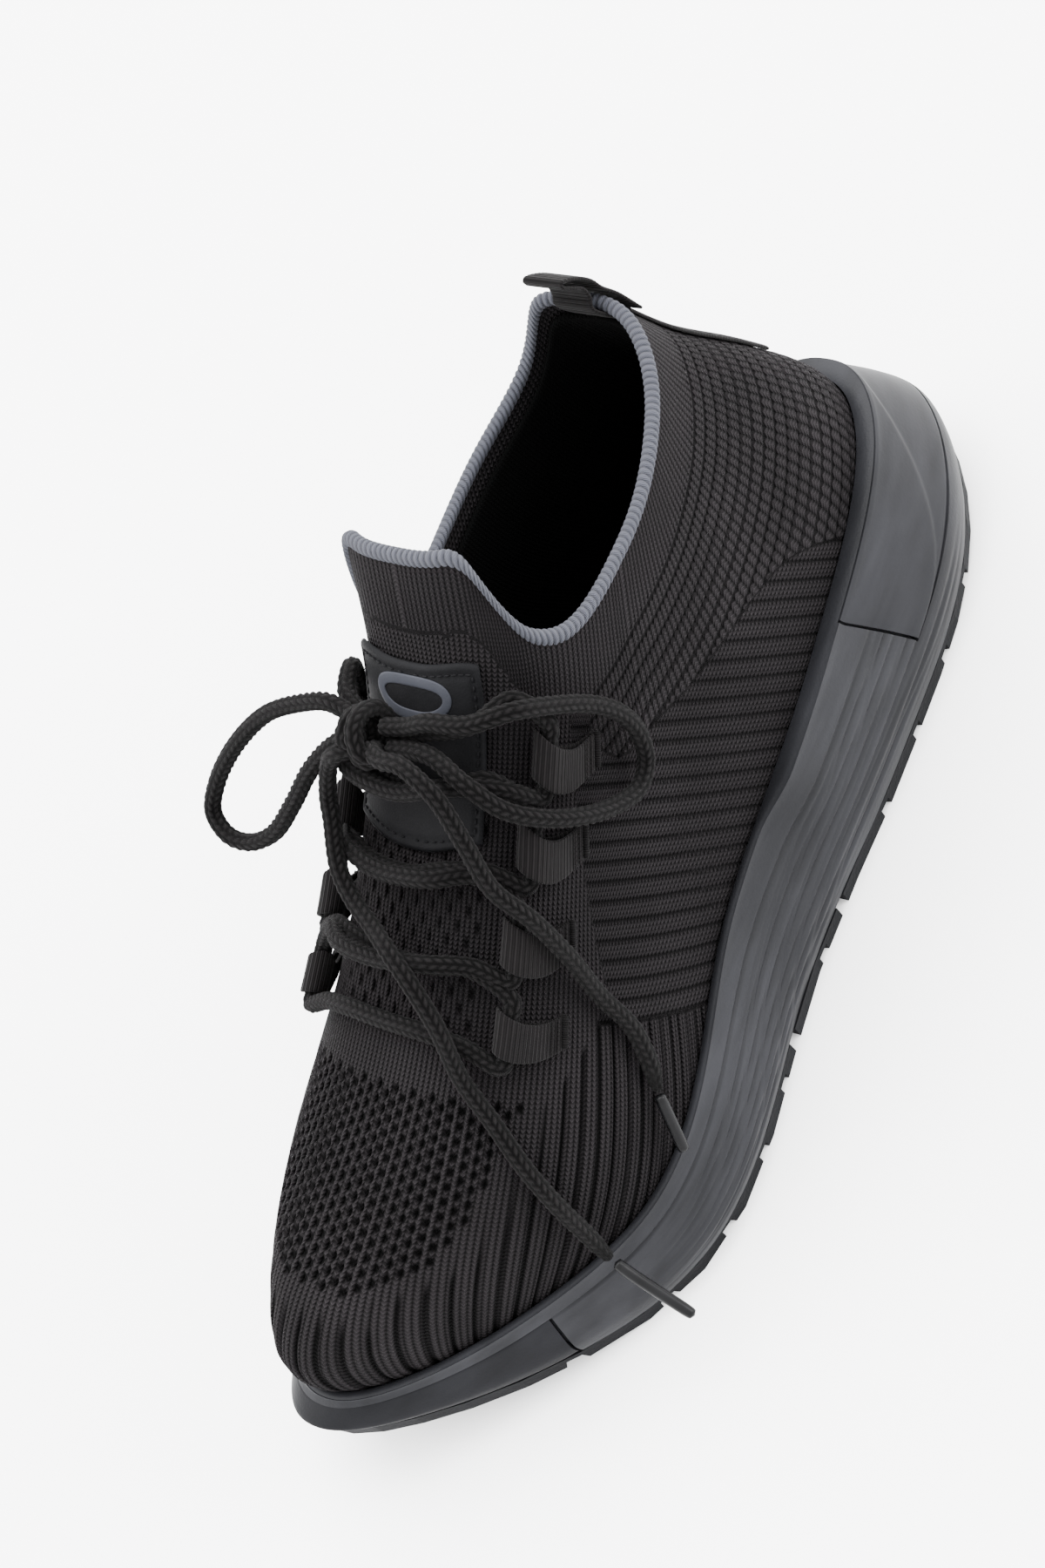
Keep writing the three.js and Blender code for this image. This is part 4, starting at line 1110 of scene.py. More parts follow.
def knit_surface(angle, height, settings):
    """How deep the knit's pattern is, its painted shade, and where its stitches run."""
    point = shell(angle, height)
    x, y, z = point[..., 0], point[..., 1], point[..., 2]
    degrees = heel_degrees(angle)
    up, below = climbed(angle, height)
    quarter = (y + QUARTER_LEAN * z) / math.hypot(1, QUARTER_LEAN)
    above_axis = RIB_SLOPE[1] * (y - RIB_AXIS[0]) - RIB_SLOPE[0] * (z - RIB_AXIS[1])
    rib = RIB_RADIUS * np.arctan2(x - 0.85 * CENTRE_LINE(y), above_axis)
    along = -RIB_SLOPE[0] * y - RIB_SLOPE[1] * z

    in_strip = 1 - smooth(below, COLLAR_STRIP - 0.7, COLLAR_STRIP)
    band_end = BAND_END(degrees)
    in_bands = (1 - in_strip) * (1 - smooth(below, band_end - 0.5, band_end + 0.5))
    in_bands *= 1 - smooth(degrees, BAND_DEGREES - 1, BAND_DEGREES)
    rest = (1 - in_strip) * (1 - in_bands)
    in_throat = smooth(degrees, THROAT_DEGREES, THROAT_DEGREES + 1)
    in_throat = in_throat * smooth(height, THROAT_HEIGHT - 0.02, THROAT_HEIGHT)
    in_quarter = smooth(quarter, QUARTER_START - 0.4, QUARTER_START + 0.4)
    in_quarter = rest * (1 - in_throat) * in_quarter
    in_front = rest * (1 - in_quarter)
    beyond_mesh = np.maximum(np.abs(rib) - MESH_HALF_WIDTH(along), MESH_START - along)
    in_ribs = in_front * (1 - in_throat) * smooth(beyond_mesh, 2, 11)

    bands = groove(below, BAND_PITCH, 0.9)
    quarters = groove(quarter, QUARTER_PITCH, 0.8)
    ribs = groove(rib, RIB_PITCH, 0.95)
    mesh = in_front * holes(
        rib, along, HOLE_COLUMN, HOLE_ROW, *HOLE_SIZE,
        lambda a, b: (np.abs(a) < MESH_HALF_WIDTH(b)) & (b > MESH_START) & (b < MESH_END))
    dashes = in_front * in_throat * holes(
        rib, along, DASH_COLUMN, DASH_ROW, *DASH_SIZE,
        lambda a, b: (np.abs(a) < DASH_HALF_WIDTH) & (b > DASH_START) & (b < DASH_END))
    depth = settings.rib_depth * 1000 * (
        in_bands * (0.9 * bands + 0.4 * step_rib(below, BAND_PITCH))
        + in_quarter * (0.8 * quarters + 0.5 * step_rib(quarter, QUARTER_PITCH))
        + in_ribs * (1.15 * ribs
                     + 0.3 * (1 - np.cos(2 * math.pi * rib / RIB_PITCH + math.pi)) / 2)
        + 0.9 * dashes)
    depth += settings.hole_depth * 1000 * mesh
    # Painted shade: the colour is darkened in the grooves, the holes and the dashes, where shade
    # falls.
    painted_hollow_shade = np.clip(0.8 * in_bands * bands + 0.85 * in_quarter * quarters + 0.95 * in_ribs * ribs
                   + mesh + 0.85 * dashes, 0, 1)
    collar = in_strip + in_bands > 0.5
    side = in_quarter > 0.5
    texture = np.stack([np.where(collar, collar_run(angle), np.where(side, up, rib)),
                        np.where(collar, below, np.where(side, quarter, along))], -1)
    return depth, painted_hollow_shade, texture


def knit_panel(name, start, end, low, high, columns, rows, settings):
    """One closed panel of the upper's knit, patterned outside and plain inside."""
    angles = np.radians(np.linspace(end, start, columns))
    a, h = np.meshgrid(angles, np.linspace(low, high, rows))
    depth, painted_hollow_shade, texture = knit_surface(a, h, settings)
    inner_a, inner_h = np.meshgrid(angles, np.linspace(high, low, 10))
    outside = shell(a, h, depth)
    inside = shell(inner_a, inner_h, lerp(KNIT, COLLAR_KNIT, inner_h))
    inner_texture = np.stack([texture[-1, :, 0][None] + 0 * inner_a, 100 * inner_h], -1)
    piece = lay_grid(name, np.concatenate([outside, inside, outside[:1]]),
                     np.concatenate([texture, inner_texture, texture[:1]]),
                     np.concatenate([painted_hollow_shade, np.zeros_like(inner_a), painted_hollow_shade[:1]]))
    sharpen(piece, 70)
    return piece


# ---------------------------------------------------------------- webbing, stitches and plates

WEBBING_RIB = 0.3
WEBBING_PAINTED_SHADE = 0.7
LOOP_RIB_PITCH = 0.95
BAR_POINTS = 9
BAR_RADIUS = 0.85
BAR_SIDES = 12
BAR_PITCH = 0.55
STITCH_ROWS = (1.9, 3.1)
STITCHES = 8
LOOP_STITCH = (1.1, 0.5)
PATCH_STITCH = (1.5, 0.55)
PATCH_HALF_ANGLE = math.radians(30)
PATCH_LOW, PATCH_HIGH = 0.795, 0.93
ANGLE_PER_MM = math.radians(1.62)
HEIGHT_PER_MM = 0.0034
STITCH_INSET = 2.2
STITCH_SPACING = 2.1
MARK_ANGLE = math.radians(179)
MARK_HEIGHT = 0.905
MARK_REACH = (7.7, 3.8)
MARK_BAND = (1.3, 1.2)
TAPE_LOW, TAPE_HIGH = 0.45, 0.93
TAPE_HALF_WIDTHS = (4, 6)
TAB_FOLD = [[2.5, 0.6], [1.5, 4.6], [-0.8, 8.6], [-4.1, 12.1], [-5, 12.4], [-5.3, 11.5],
            [-3.5, 8.8], [-1.4, 5.4], [-1.6, 2.4], [-2.9, 0.2]]
HEEL_RIB_PITCH = 1.1
OVERLOCK_PITCH = 1.55
OVERLOCK_STEP = 0.26


def webbing(name, points, half_width, thickness, pitch, place, body="shoe"):
    """A ribbed strap along a line of [along, out] points.

    place(along, across, out) lays it on the shoe.
    """
    line = [[a, b, 0] for a, b in points]
    path, run = smooth_path(line, pitch / 6)
    ahead = unit(np.gradient(path, axis=0))
    edge = [-1, -0.97, -0.9, -0.6, -0.3, 0, 0.3, 0.6, 0.9, 0.97, 1]
    across = np.array(edge + edge[-2::-1]) * half_width
    face = [0.8] + 7 * [1] + [0.8]
    fullness = np.array([0] + face + [0] + [-f for f in face] + [0])
    rib = 1 - WEBBING_RIB * (0.5 + 0.5 * np.cos(2 * math.pi * run / pitch))[:, None]
    lift = fullness * rib * thickness / 2
    a = path[:, :1] - ahead[:, 1:2] * lift
    o = path[:, 1:2] + ahead[:, :1] * lift
    across = np.broadcast_to(across, a.shape)
    texture = np.stack([across, np.broadcast_to(run[:, None], a.shape)], -1)
    # Painted shade: the colour is darkened in the hollows between the ribs.
    hollow = np.broadcast_to(WEBBING_PAINTED_SHADE * (1 - rib) / WEBBING_RIB, a.shape)
    return lay_grid(name, place(a, across, o), texture, hollow, body=body)


def stitch_row(name, places, aheads, ups, length, width, slot, body="shoe"):
    """Short plump stitches, each lying along its own direction."""
    bm = bmesh.new()
    for place, ahead, up in zip(places, aheads, ups):
        side = Vector(up).cross(Vector(ahead)).normalized()
        ahead = Vector(ahead).normalized()
        turn = Matrix((ahead, side, ahead.cross(side))).transposed().to_4x4()
        size = Matrix.Diagonal((length / 2 * MM, width / 2 * MM, width / 2 * MM, 1))
        bmesh.ops.create_uvsphere(bm, u_segments=8, v_segments=6, radius=1,
                                  matrix=Matrix.Translation(Vector(place) * MM) @ turn @ size)
    mesh = bpy.data.meshes.new(name)
    bm.to_mesh(mesh)
    bm.free()
    return add_piece(name, mesh, body)


def board_edge(angle, depth, rise):
    """A ring inside the upper's foot, moved in by depth and lifted by rise."""

    def face(a):
        return upper_face(a, np.zeros_like(a))

    point = face(angle) - out_of(face, angle) * depth
    point[..., 2] += rise
    return point


def ring_angles(count):
    """Angles all round a ring, in the order that turns its faces outwards."""
    return -np.linspace(0, 2 * math.pi, count + 1)


def spine(edge):
    """The middle line of a ring that is laid out evenly from the heel."""
    return (edge + edge[::-1]) / 2


# ---------------------------------------------------------------- settings and pieces


class ShoeSettings(PropertyGroup):
    """Sizes and colours that a user may change"""

    knit_colour: FloatVectorProperty(name="Knit", description="Colour of the yarn", subtype="COLOR",
                                     default=(0.0020, 0.00178, 0.00192), min=0, max=1)
    binding_colour: FloatVectorProperty(name="Collar binding",
                                        description="Colour of the overlocked edge",
                                        subtype="COLOR", default=(0.026, 0.027, 0.033),
                                        min=0, max=1)
    lace_colour: FloatVectorProperty(name="Lace", description="Colour of the braid",
                                     subtype="COLOR", default=(0.0024, 0.00216, 0.00224),
                                     min=0, max=1)
    sole_colour: FloatVectorProperty(name="Sole", description="Colour of the foam", subtype="COLOR",
                                     default=(0.0052, 0.0053, 0.0061), min=0, max=1)
    rib_depth: FloatProperty(name="Rib depth", description="Depth of the knit's ribs",
                             default=0.0006, min=0, max=0.001, unit="LENGTH")
    hole_depth: FloatProperty(name="Hole depth", description="Depth of the holes over the toes",
                              default=0.0009, min=0, max=0.0012, unit="LENGTH")
    around: IntProperty(name="Sole divisions", description="Divisions round the sole", default=420,
                        min=48, max=800)
    light: FloatProperty(name="Light", description="Power of the main light", default=190, min=0,
                         unit="POWER")


def tinted(colour, factor):
    """A colour made lighter or darker."""
    return [factor * c for c in colour]


class SHOE_OT_lace(Operator):
    """Braids the lace through its loops, with the bow, the knot, the two ends and their tips"""

    bl_idname = "shoe.lace"
    bl_label = "Lace"

    def execute(self, context):
        settings = context.scene.shoe_settings
        braid_finish = thread_material(
            "Braided lace", settings.lace_colour, tinted(settings.lace_colour, 4.2),
            pitch=0.16, lean=0.9, strength=0.7, sheen=0.02)
        tip_finish = moulded_material(
            "Lace tip", (0.0016, 0.0016, 0.0018), (0.0036, 0.0036, 0.004), roughness=0.3,
            shine=0.08, grain=900, grain_strength=0.12, flow=0.4)

        def at_knot(point):
            return list(np.array(KNOT_CENTRE) + point)

        rows = [at_knot(ROWS_START)] + lace_rows() + [at_knot(ROWS_END)]
        piece, _ = lace("lace_rows_braid", rows)
        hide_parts("lace_rows")
        give(piece, braid_finish)
        free = {
            "bow_loop_outer": [at_knot(BOW_OUTER_START)] + BOW_OUTER + [at_knot(BOW_OUTER_END)],
            "bow_loop_inner": [at_knot(BOW_INNER_START)] + BOW_INNER + [at_knot(BOW_INNER_END)],
            "lace_end_outer": [at_knot(END_OUTER_START)] + END_OUTER,
            "lace_end_inner": [at_knot(END_INNER_START)] + END_INNER,
        }
        tips = {"lace_end_outer": self.tip("aglet_outer", AGLET_OUTER, tip_finish),
                "lace_end_inner": self.tip("aglet_inner", AGLET_INNER, tip_finish)}
        for name, points in free.items():
            piece, path = lace(name + "_braid", points, taper=name in tips)
            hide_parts(name)
            give(piece, braid_finish)
            length = float(np.linalg.norm(np.diff(path, axis=0), axis=1).sum()) * MM
            line = [[float(c) * MM for c in point] for point in path]
        wrap, _ = lace("knot_wrap", [at_knot(point) for point in KNOT_WRAP])
        turn, _ = lace("knot_turn", [at_knot(point) for point in KNOT_TURN])
        knot = join_meshes("lace_knot_braid", [wrap, turn])
        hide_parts("lace_knot")
        give(knot, braid_finish)
        return {"FINISHED"}

    def tip(self, name, points, finish):
        """A crimped sleeve, ringed where it grips the braid and narrowed at its end."""
        path, along = smooth_path(points, 0.5)
        full = along[-1]

        def crimp(turn, run):
            ring = 1 - smooth(np.abs(run - 1.4), 0.3, 0.7)
            return 0.16 * smooth(run, full - 3, full) + 0.1 * ring

        piece = tube(name + "_sleeve", path, along, TIP_RADIUS, TIP_SIDES, crimp)
        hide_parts(name)
        give(piece, finish)
        return piece


class SHOE_OT_loops(Operator):
    """Sews the eight webbing loops that hold the lace"""

    bl_idname = "shoe.loops"
    bl_label = "Lace loops"

    def execute(self, context):
        settings = context.scene.shoe_settings
        finish = thread_material(
            "Loop webbing", tinted(settings.lace_colour, 0.95), tinted(settings.lace_colour, 2.6),
            pitch=0.45, lean=0.0, strength=0.5, sheen=0.02)
        for side, word in ((1, "outer"), (-1, "inner")):
            for number, place in enumerate(LOOP_PLACES, 1):
                loop = self.loop(place, side, f"lace_loop_{word}_{number}")
                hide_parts(f"lace_loop_{word}_{number}")
                give(loop, finish)
        return {"FINISHED"}

    def loop(self, place, side, name):
        """Webbing that runs out, round the lace and back, with a bar and two rows of stitches."""
        snug = LACE_RADIUS + 0.1 + WEB / 2
        level = EYE_RADIUS + WEB
        eye = [[EYE_AT + snug * math.sin(turn), level - snug * math.cos(turn)]
               for turn in np.radians([0, 30, 60, 90, 120, 150, 180, 200])]
        under = [[0.4, WEB / 2], [5, WEB / 2], [9, 0.7 * WEB]]
        over = [[8.6, 0.72 * level + 2.4], [5.6, 3.5], [2.8, 2], [0.4, 1.5 * WEB]]

        def lay(along, up, out):
            return at_loop(place, side, along, side * up, LOOP_LIFT + out)

        strap = webbing(name + "_strap", under + eye + over, LOOP_WIDTH / 2, 0.95 * WEB,
                        LOOP_RIB_PITCH, lay, None)
        across = np.linspace(-LOOP_WIDTH / 2, LOOP_WIDTH / 2, BAR_POINTS)
        line = lay(np.full(BAR_POINTS, 0.5), across, np.full(BAR_POINTS, 2 * WEB))
        path, run = smooth_path(line, 0.25)

        def thread(turn, run):
            return 0.12 * (0.5 + 0.5 * np.cos(2 * math.pi * run / BAR_PITCH))

        bar = tube(name + "_bar", path, run, BAR_RADIUS, BAR_SIDES, thread, None)
        rows = []
        for along in STITCH_ROWS:
            across = np.linspace(-0.42, 0.42, STITCHES) * LOOP_WIDTH
            at = np.full(STITCHES, along)
            level = np.full(STITCHES, 2 * WEB + 0.55 * (along - 1))
            here, ahead = lay(at, across, level), lay(at, across + 0.3, level)
            above = lay(at, across, level + 0.5)
            rows.append(stitch_row(name + "_stitches", here, ahead - here, above - here,
                                   *LOOP_STITCH, None, None))
        return join_meshes(name + "_webbing", [strap, bar] + rows)


class SHOE_OT_sole(Operator):
    """Moulds the midsole, the heel clip and the toe bumper, and finishes the tread"""

    bl_idname = "shoe.sole"
    bl_label = "Sole"

    def execute(self, context):
        settings = context.scene.shoe_settings
        colour = settings.sole_colour
        foam = moulded_material("Moulded foam", colour, tinted(colour, 2.2), roughness=0.45,
                                shine=0.06, grain=1400, grain_strength=0.22, flow=2.2)
        clear = moulded_material("Heel clip plastic", tinted(colour, 1.1), tinted(colour, 2.2),
                                 roughness=0.46, shine=0.04, grain=900, grain_strength=0.1,
                                 flow=0.9)
        bumper = moulded_material("Toe bumper rubber", tinted(colour, 0.75), tinted(colour, 1.2),
                                  roughness=0.45, shine=0.03, grain=1600, grain_strength=0.2,
                                  flow=0.6)
        tread = moulded_material("Tread rubber", tinted(colour, 0.55), tinted(colour, 0.9),
                                 roughness=0.6, shine=0.035, grain=1200, grain_strength=0.5,
                                 flow=0.6)
        midsole = self.midsole(settings.around)
        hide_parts("midsole")
        give(midsole, foam)
        clip = self.wrap("heel_clip_moulding", (-60, 60), (0.308, 0.985), (150, 60),
                         "heel_plastic", self.clip_crease)
        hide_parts("heel_clip")
        give(clip, clear)
        toe = self.wrap("toe_bumper_moulding", (135, 225), (0.02, 0.793), (120, 40),
                        "bumper_rubber", lambda a, share: 0 * a)
        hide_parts("toe_bumper")
        give(toe, bumper)
        for node in ("outsole_forefoot", "outsole_midfoot", "outsole_heel"):
            give(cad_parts[node], tread)
        return {"FINISHED"}

    def midsole(self, around):
        """The foam cup in one skin, with seats in its side for the two mouldings."""
        ends = [(CLIP_REACH * RING_STEP, 1), (180 - BUMPER_REACH * RING_STEP, -1)]
        parting = np.radians([side * (end + way * step) for end, way in ends for step in SEAT_DEGREES
                              for side in (1, -1)])
        extra = -np.where(parting < 0, parting + 2 * math.pi, parting)
        angles = np.sort(np.concatenate([ring_angles(around), extra]))[::-1]
        shares = np.concatenate([np.linspace(0, WRAP_LOW - STEP, 30),
                                 np.linspace(WRAP_LOW + STEP, BUMPER_HIGH - STEP, 72),
                                 np.linspace(BUMPER_HIGH + STEP, 0.97, 22), [0.985, 0.995]])
        a, share = np.meshgrid(angles, shares)
        point = sole_side(a, share)
        relief, painted_hollow_shade = self.flow_lines(point[..., 1], share)
        clip = self.seat(a, 0, CLIP_REACH) * (share >= WRAP_LOW)
        bumper = self.seat(a, math.pi, BUMPER_REACH) * (share <= BUMPER_HIGH)
        stepped = (WRAP_THICKNESS + WRAP_GAP) * np.maximum(clip, bumper)
        side = sole_side(a, share, np.maximum(stepped, relief * (stepped < 0.05)))
        rim = rim_edge(angles)
        cup = cup_wall(angles, 1)
        crown = [lerp(rim, cup, t) for t in (0.08, 0.25, 0.5, 0.8, 1)]
        for ring, rise in zip(crown, (0.25, 0.5, 0.6, 0.35, 0)):
            ring[..., 2] = lerp(rim[..., 2], ring[..., 2], 0.3) + rise - 0.4
        walls = [cup_wall(angles, t) for t in (0.75, 0.5, 0.25)]
        bed = cup_wall(angles, 0)
        bed[..., 2] -= GAP
        edge = sole_side(angles, np.zeros_like(angles), stepped[0])
        under = [lerp(spine(edge), edge, t) for t in (0, 0.5, 0.9)]
        floor = [lerp(bed, spine(bed), t) for t in (0, 0.5, 1)]
        rows = np.stack(under + list(side) + crown + walls + floor)
        # Painted shade in the flow lines and the crease, which darkens the foam's colour there.
        shade = np.zeros(rows.shape[:2])
        shade[len(under):len(under) + len(shares)] = painted_hollow_shade
        piece = lay_grid("midsole_foam", rows, painted_shade=shade)
        sharpen(piece, 50)
        return piece

    def seat(self, angle, centre, reach):
        """1 behind a moulding let into the foam, falling to 0 at a thin parting line."""
        places = heel_degrees(angle - centre) / RING_STEP
        return 1 - smooth(places, reach + SEAT_PLACES[0], reach + SEAT_PLACES[1])

    def flow_lines(self, y, share):
        """Depth and painted shade of long moulded lines that run along the sole's side and gather at
        the waist, and of a crease.
        """
        fade = smooth(y, -95, -40) * (1 - smooth(y, 85, 125))
        band = smooth(share, 0.06, 0.14) * (1 - smooth(share, 0.62, 0.72))
        drift = 0.9 * np.sin(y / 46) + 0.3 * np.sin(y / 23 + 5 * share)
        wave = np.sin(2 * math.pi * (9 * share + drift))
        wave = wave + 0.6 * np.sin(2 * math.pi * (16 * share - 1.3 * drift))
        lines = np.clip(0.5 + 0.4 * wave, 0, 1) ** 1.5
        crease = 1 - smooth(np.abs(share - lerp(0.8, 0.72, smooth(y, -60, 60))), 0.006, 0.03)
        crease = crease * smooth(y, -120, -90) * (1 - smooth(y, 60, 90))
        relief = 0.55 * fade * band * lines + 0.4 * crease
        return relief, np.clip(0.6 * fade * band * lines + 0.8 * crease, 0, 1)

    def clip_crease(self, a, share):
        """A fine step that slants down each side of the heel."""
        degrees = heel_degrees(a)
        line = 0.95 - 0.65 * smooth(degrees, 10, 58)
        return 0.3 * smooth(line - share, -0.02, 0.015) * (1 - smooth(line - share, 0.05, 0.5))

    def wrap(self, name, angles, shares, divisions, slot, relief):
        """A moulding let into the sole's side between two angles in degrees and two shares."""
        (start, end), (low, high) = np.radians(angles), shares

        def outside(a, share):
            rim = np.minimum(share - low, high - share) / (high - low)
            reach = np.minimum(a - start, end - a)
            soft = (1 - smooth(rim, 0, 0.035)) + (1 - smooth(reach, 0, 0.02))
            return sole_side(a, share, 0.25 * np.clip(soft, 0, 1) + relief(a, share))

        def inside(a, share):
            return sole_side(a, share, np.full_like(a, WRAP_THICKNESS))

        columns, rows = divisions
        piece = slab(name, np.radians(np.linspace(angles[1], angles[0], columns)),
                     np.linspace(low, high, rows), outside, inside)
        sharpen(piece, 60)
        return piece


class SHOE_OT_upper(Operator):
    """Knits the upper in panels, with its ribs, holes and plain ground"""

    bl_idname = "shoe.upper"
    bl_label = "Knit upper"

    def execute(self, context):
        settings = context.scene.shoe_settings
        finish = knit_material("Knit", settings.knit_colour, tinted(settings.knit_colour, 5.5),
                               wale=1.45, course=1.1, strength=1)
        for word, start, end, low, high, columns, rows in KNIT_PANELS:
            piece = knit_panel("knit_" + word, start, end, low, high, columns, rows, settings)
            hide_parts("upper")
            give(piece, finish)
        return {"FINISHED"}


class SHOE_OT_collar(Operator):
    """Overlocks the collar's edge, tapes the back seam and folds the pull tab"""

    bl_idname = "shoe.collar"
    bl_label = "Collar and heel trim"

    def execute(self, context):
        settings = context.scene.shoe_settings
        binding = self.binding()
        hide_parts("collar_binding")
        give(binding, thread_material(
            "Overlocked edge", settings.binding_colour, tinted(settings.binding_colour, 2.4),
            pitch=0.3, lean=0.5, strength=0.7, sheen=0.04))
        finish = thread_material(
            "Heel webbing", tinted(settings.lace_colour, 0.8), tinted(settings.lace_colour, 2.2),
            pitch=0.5, lean=0.0, strength=0.5, sheen=0.02)
        tape = self.tape()
        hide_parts("back_seam_tape")
        give(tape, finish)
        tab = self.pull_tab()
        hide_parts("pull_tab")
        give(tab, finish)
        return {"FINISHED"}

    def binding(self):
        """A roll over the collar's edge, with one soft hump for each turn of the thread."""
        dense = -np.linspace(0, 2 * math.pi, 1441)

        def centre(angle):
            up = unit(shell(angle, 1) - shell(angle, 0.97))
            inwards = unit(shell(angle, 1, 1) - shell(angle, 1))
            middle = shell(angle, 1, COLLAR_KNIT / 2) + up * (BINDING_RADIUS + GAP - 0.35)
            return middle, up, inwards

        line = centre(dense)[0]
        run = np.concatenate([[0], np.cumsum(np.linalg.norm(np.diff(line, axis=0), axis=1))])
        pitch = run[-1] / round(run[-1] / OVERLOCK_PITCH)
        at = np.linspace(0, run[-1], int(run[-1] / OVERLOCK_STEP) + 1)
        angle = np.interp(at, run, dense)
        middle, up, inwards = centre(angle)
        turn = np.linspace(0, 2 * math.pi, 17)
        t, s = np.meshgrid(turn, at, indexing="ij")
        wave = np.abs(np.sin(math.pi * (s / pitch + 0.16 * np.cos(t)))) ** 0.6
        reach = BINDING_RADIUS + 0.4 - 0.42 * (1 - wave)
        stretch = np.where(np.cos(t) < 0, 1.35, 1.0)
        rows = (middle[None] + up[None] * (stretch * reach * np.cos(t))[..., None]
                + inwards[None] * (1.05 * reach * np.sin(t))[..., None])
        texture = np.stack([t * 1.5, s], -1)
        # Painted shade between the turns of the thread darkens the colour there.
        return lay_grid("collar_binding_overlock", rows, texture, 1.2 * (1 - wave))

    def tape(self):
        """Webbing up the back seam, narrower at its foot."""
        low, high = (climbed(np.zeros(1), np.array([h]))[0][0] for h in (TAPE_LOW, TAPE_HIGH))
        length = float(high - low)
        foot, top = TAPE_HALF_WIDTHS

        def lay(along, across, out):
            height = TAPE_LOW + along / length * (TAPE_HIGH - TAPE_LOW)
            share = across / top
            point = shell(0 * height, height, -out)
            point[..., 0] += share * lerp(foot, top, height)
            point[..., 1] -= 0.7 * share * share
            return point

        line = [[along, GAP + 0.3] for along in np.linspace(0, length, 9)]
        return webbing("back_seam_tape_strap", line, top, 1, HEEL_RIB_PITCH, lay)

    def pull_tab(self):
        """A folded strap over the collar's back edge."""
        zero = np.zeros(1)
        top = shell(zero, zero + 1, zero + COLLAR_KNIT / 2)[0]
        up = unit(shell(zero, zero + 1) - shell(zero, zero + 0.97))[0]
        root = top + up * (2 * (BINDING_RADIUS + GAP) + 1.2)
        outside = shell(zero, zero + 0.9, zero - 1.5)[0]
        shoulder = shell(zero, zero + 0.985, zero - 2.2)[0]
        inside = shell(zero, zero + 0.93, zero + COLLAR_KNIT + 0.9)[0]
        fold = [[root[1] + back, root[2] + rise] for back, rise in TAB_FOLD]
        line = [outside[1:], shoulder[1:]] + fold + [inside[1:]]
        corner_low, corner_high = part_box("pull_tab")
        middle = (corner_low[0] + corner_high[0]) / 2 / MM
        half_width = (corner_high[0] - corner_low[0]) / 2 / MM - 0.05

        def lay(y, across, z):
            return np.stack([middle + across, y, z], -1)

        tab = webbing("pull_tab_strap", line, half_width, 0.95, HEEL_RIB_PITCH, lay,
                      None)
        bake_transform(tab)
        return tab


class SHOE_OT_patch(Operator):
    """Lays the stitched patch and its plain oval mark on the tongue"""

    bl_idname = "shoe.patch"
    bl_label = "Tongue patch"

    def execute(self, context):
        angles = np.radians(np.linspace(210, 150, 90))
        heights = np.linspace(PATCH_LOW, PATCH_HIGH, 70)

        def border(a, h):
            across = (PATCH_HALF_ANGLE - np.abs(a - math.pi)) / ANGLE_PER_MM
            up = np.minimum(h - PATCH_LOW, PATCH_HIGH - h) / HEIGHT_PER_MM
            return np.minimum(across, up)

        def outside(a, h):
            near = border(a, h)
            edge = smooth(near, -0.2, 0.9)
            channel = 1 - smooth(np.abs(near - STITCH_INSET), 0.5, 1.1)
            thickness = PATCH_THICKNESS * (0.45 + 0.55 * edge) - 0.22 * channel
            return shell(a, h, -(PATCH_LIFT + thickness))

        patch = slab("tongue_patch_face", angles, heights, outside,
                     lambda a, h: shell(a, h, -PATCH_LIFT + 0 * a))
        sharpen(patch, 60)
        patch = join_meshes("tongue_patch_label", [patch, self.stitches()])
        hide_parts("tongue_patch")
        give(patch, moulded_material("Patch", (0.0024, 0.0024, 0.0027), (0.0045, 0.0045, 0.005),
                                     roughness=0.6, shine=0.03, grain=2200, grain_strength=0.35,
                                     flow=0.3))
        mark = self.mark()
        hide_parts("patch_mark")
        give(mark, moulded_material("Mark print", (0.014, 0.015, 0.019), (0.022, 0.023, 0.028),
                                    roughness=0.5, shine=0.05, grain=2600, grain_strength=0.2,
                                    flow=0.3))
        return {"FINISHED"}

    def stitches(self):
        """Stitches round the patch, sunk a little into its channel."""
        half = PATCH_HALF_ANGLE - ANGLE_PER_MM * STITCH_INSET
        low = PATCH_LOW + STITCH_INSET * HEIGHT_PER_MM
        high = PATCH_HIGH - STITCH_INSET * HEIGHT_PER_MM
        corners = [(-half, low), (half, low), (half, high), (-half, high), (-half, low)]
        face = PATCH_LIFT + PATCH_THICKNESS
        places, aheads, ups = [], [], []
        for (a0, h0), (a1, h1) in zip(corners, corners[1:]):
            start, end = shell(math.pi + a0, h0, -2.0), shell(math.pi + a1, h1, -2.0)
            count = max(int(np.linalg.norm(end - start) / STITCH_SPACING), 2)
            share = (np.arange(count) + 0.5) / count

            def on_line(t, lift):
                return shell(math.pi + lerp(a0, a1, t), lerp(h0, h1, t),
                             np.full(count, -(face + lift)))

            here = on_line(share, -0.1)
            places += list(here)
            aheads += list(on_line(share + 0.01, -0.1) - here)
            ups += list(on_line(share, 0.5) - here)
        return stitch_row("patch_stitches", places, aheads, ups, *PATCH_STITCH, None, None)

    def mark(self):
        """A plain oval ring with a soft square section."""
        turn = np.linspace(0, 2 * math.pi, 73)
        section = np.linspace(0, 2 * math.pi, 13)
        t, s = np.meshgrid(turn, section)
        squared = np.sign(np.cos(s)) * np.abs(np.cos(s)) ** 0.6
        reach_x, reach_y = (reach + band * squared for reach, band in zip(MARK_REACH, MARK_BAND))
        lift = 0.1 + 0.2 * np.sign(np.sin(s)) * np.abs(np.sin(s)) ** 0.6
        rows = shell(MARK_ANGLE - ANGLE_PER_MM * reach_x * np.cos(t),
                     MARK_HEIGHT + HEIGHT_PER_MM * reach_y * np.sin(t),
                     -(PATCH_LIFT + PATCH_THICKNESS + lift))
        return lay_grid("patch_mark_print", rows)


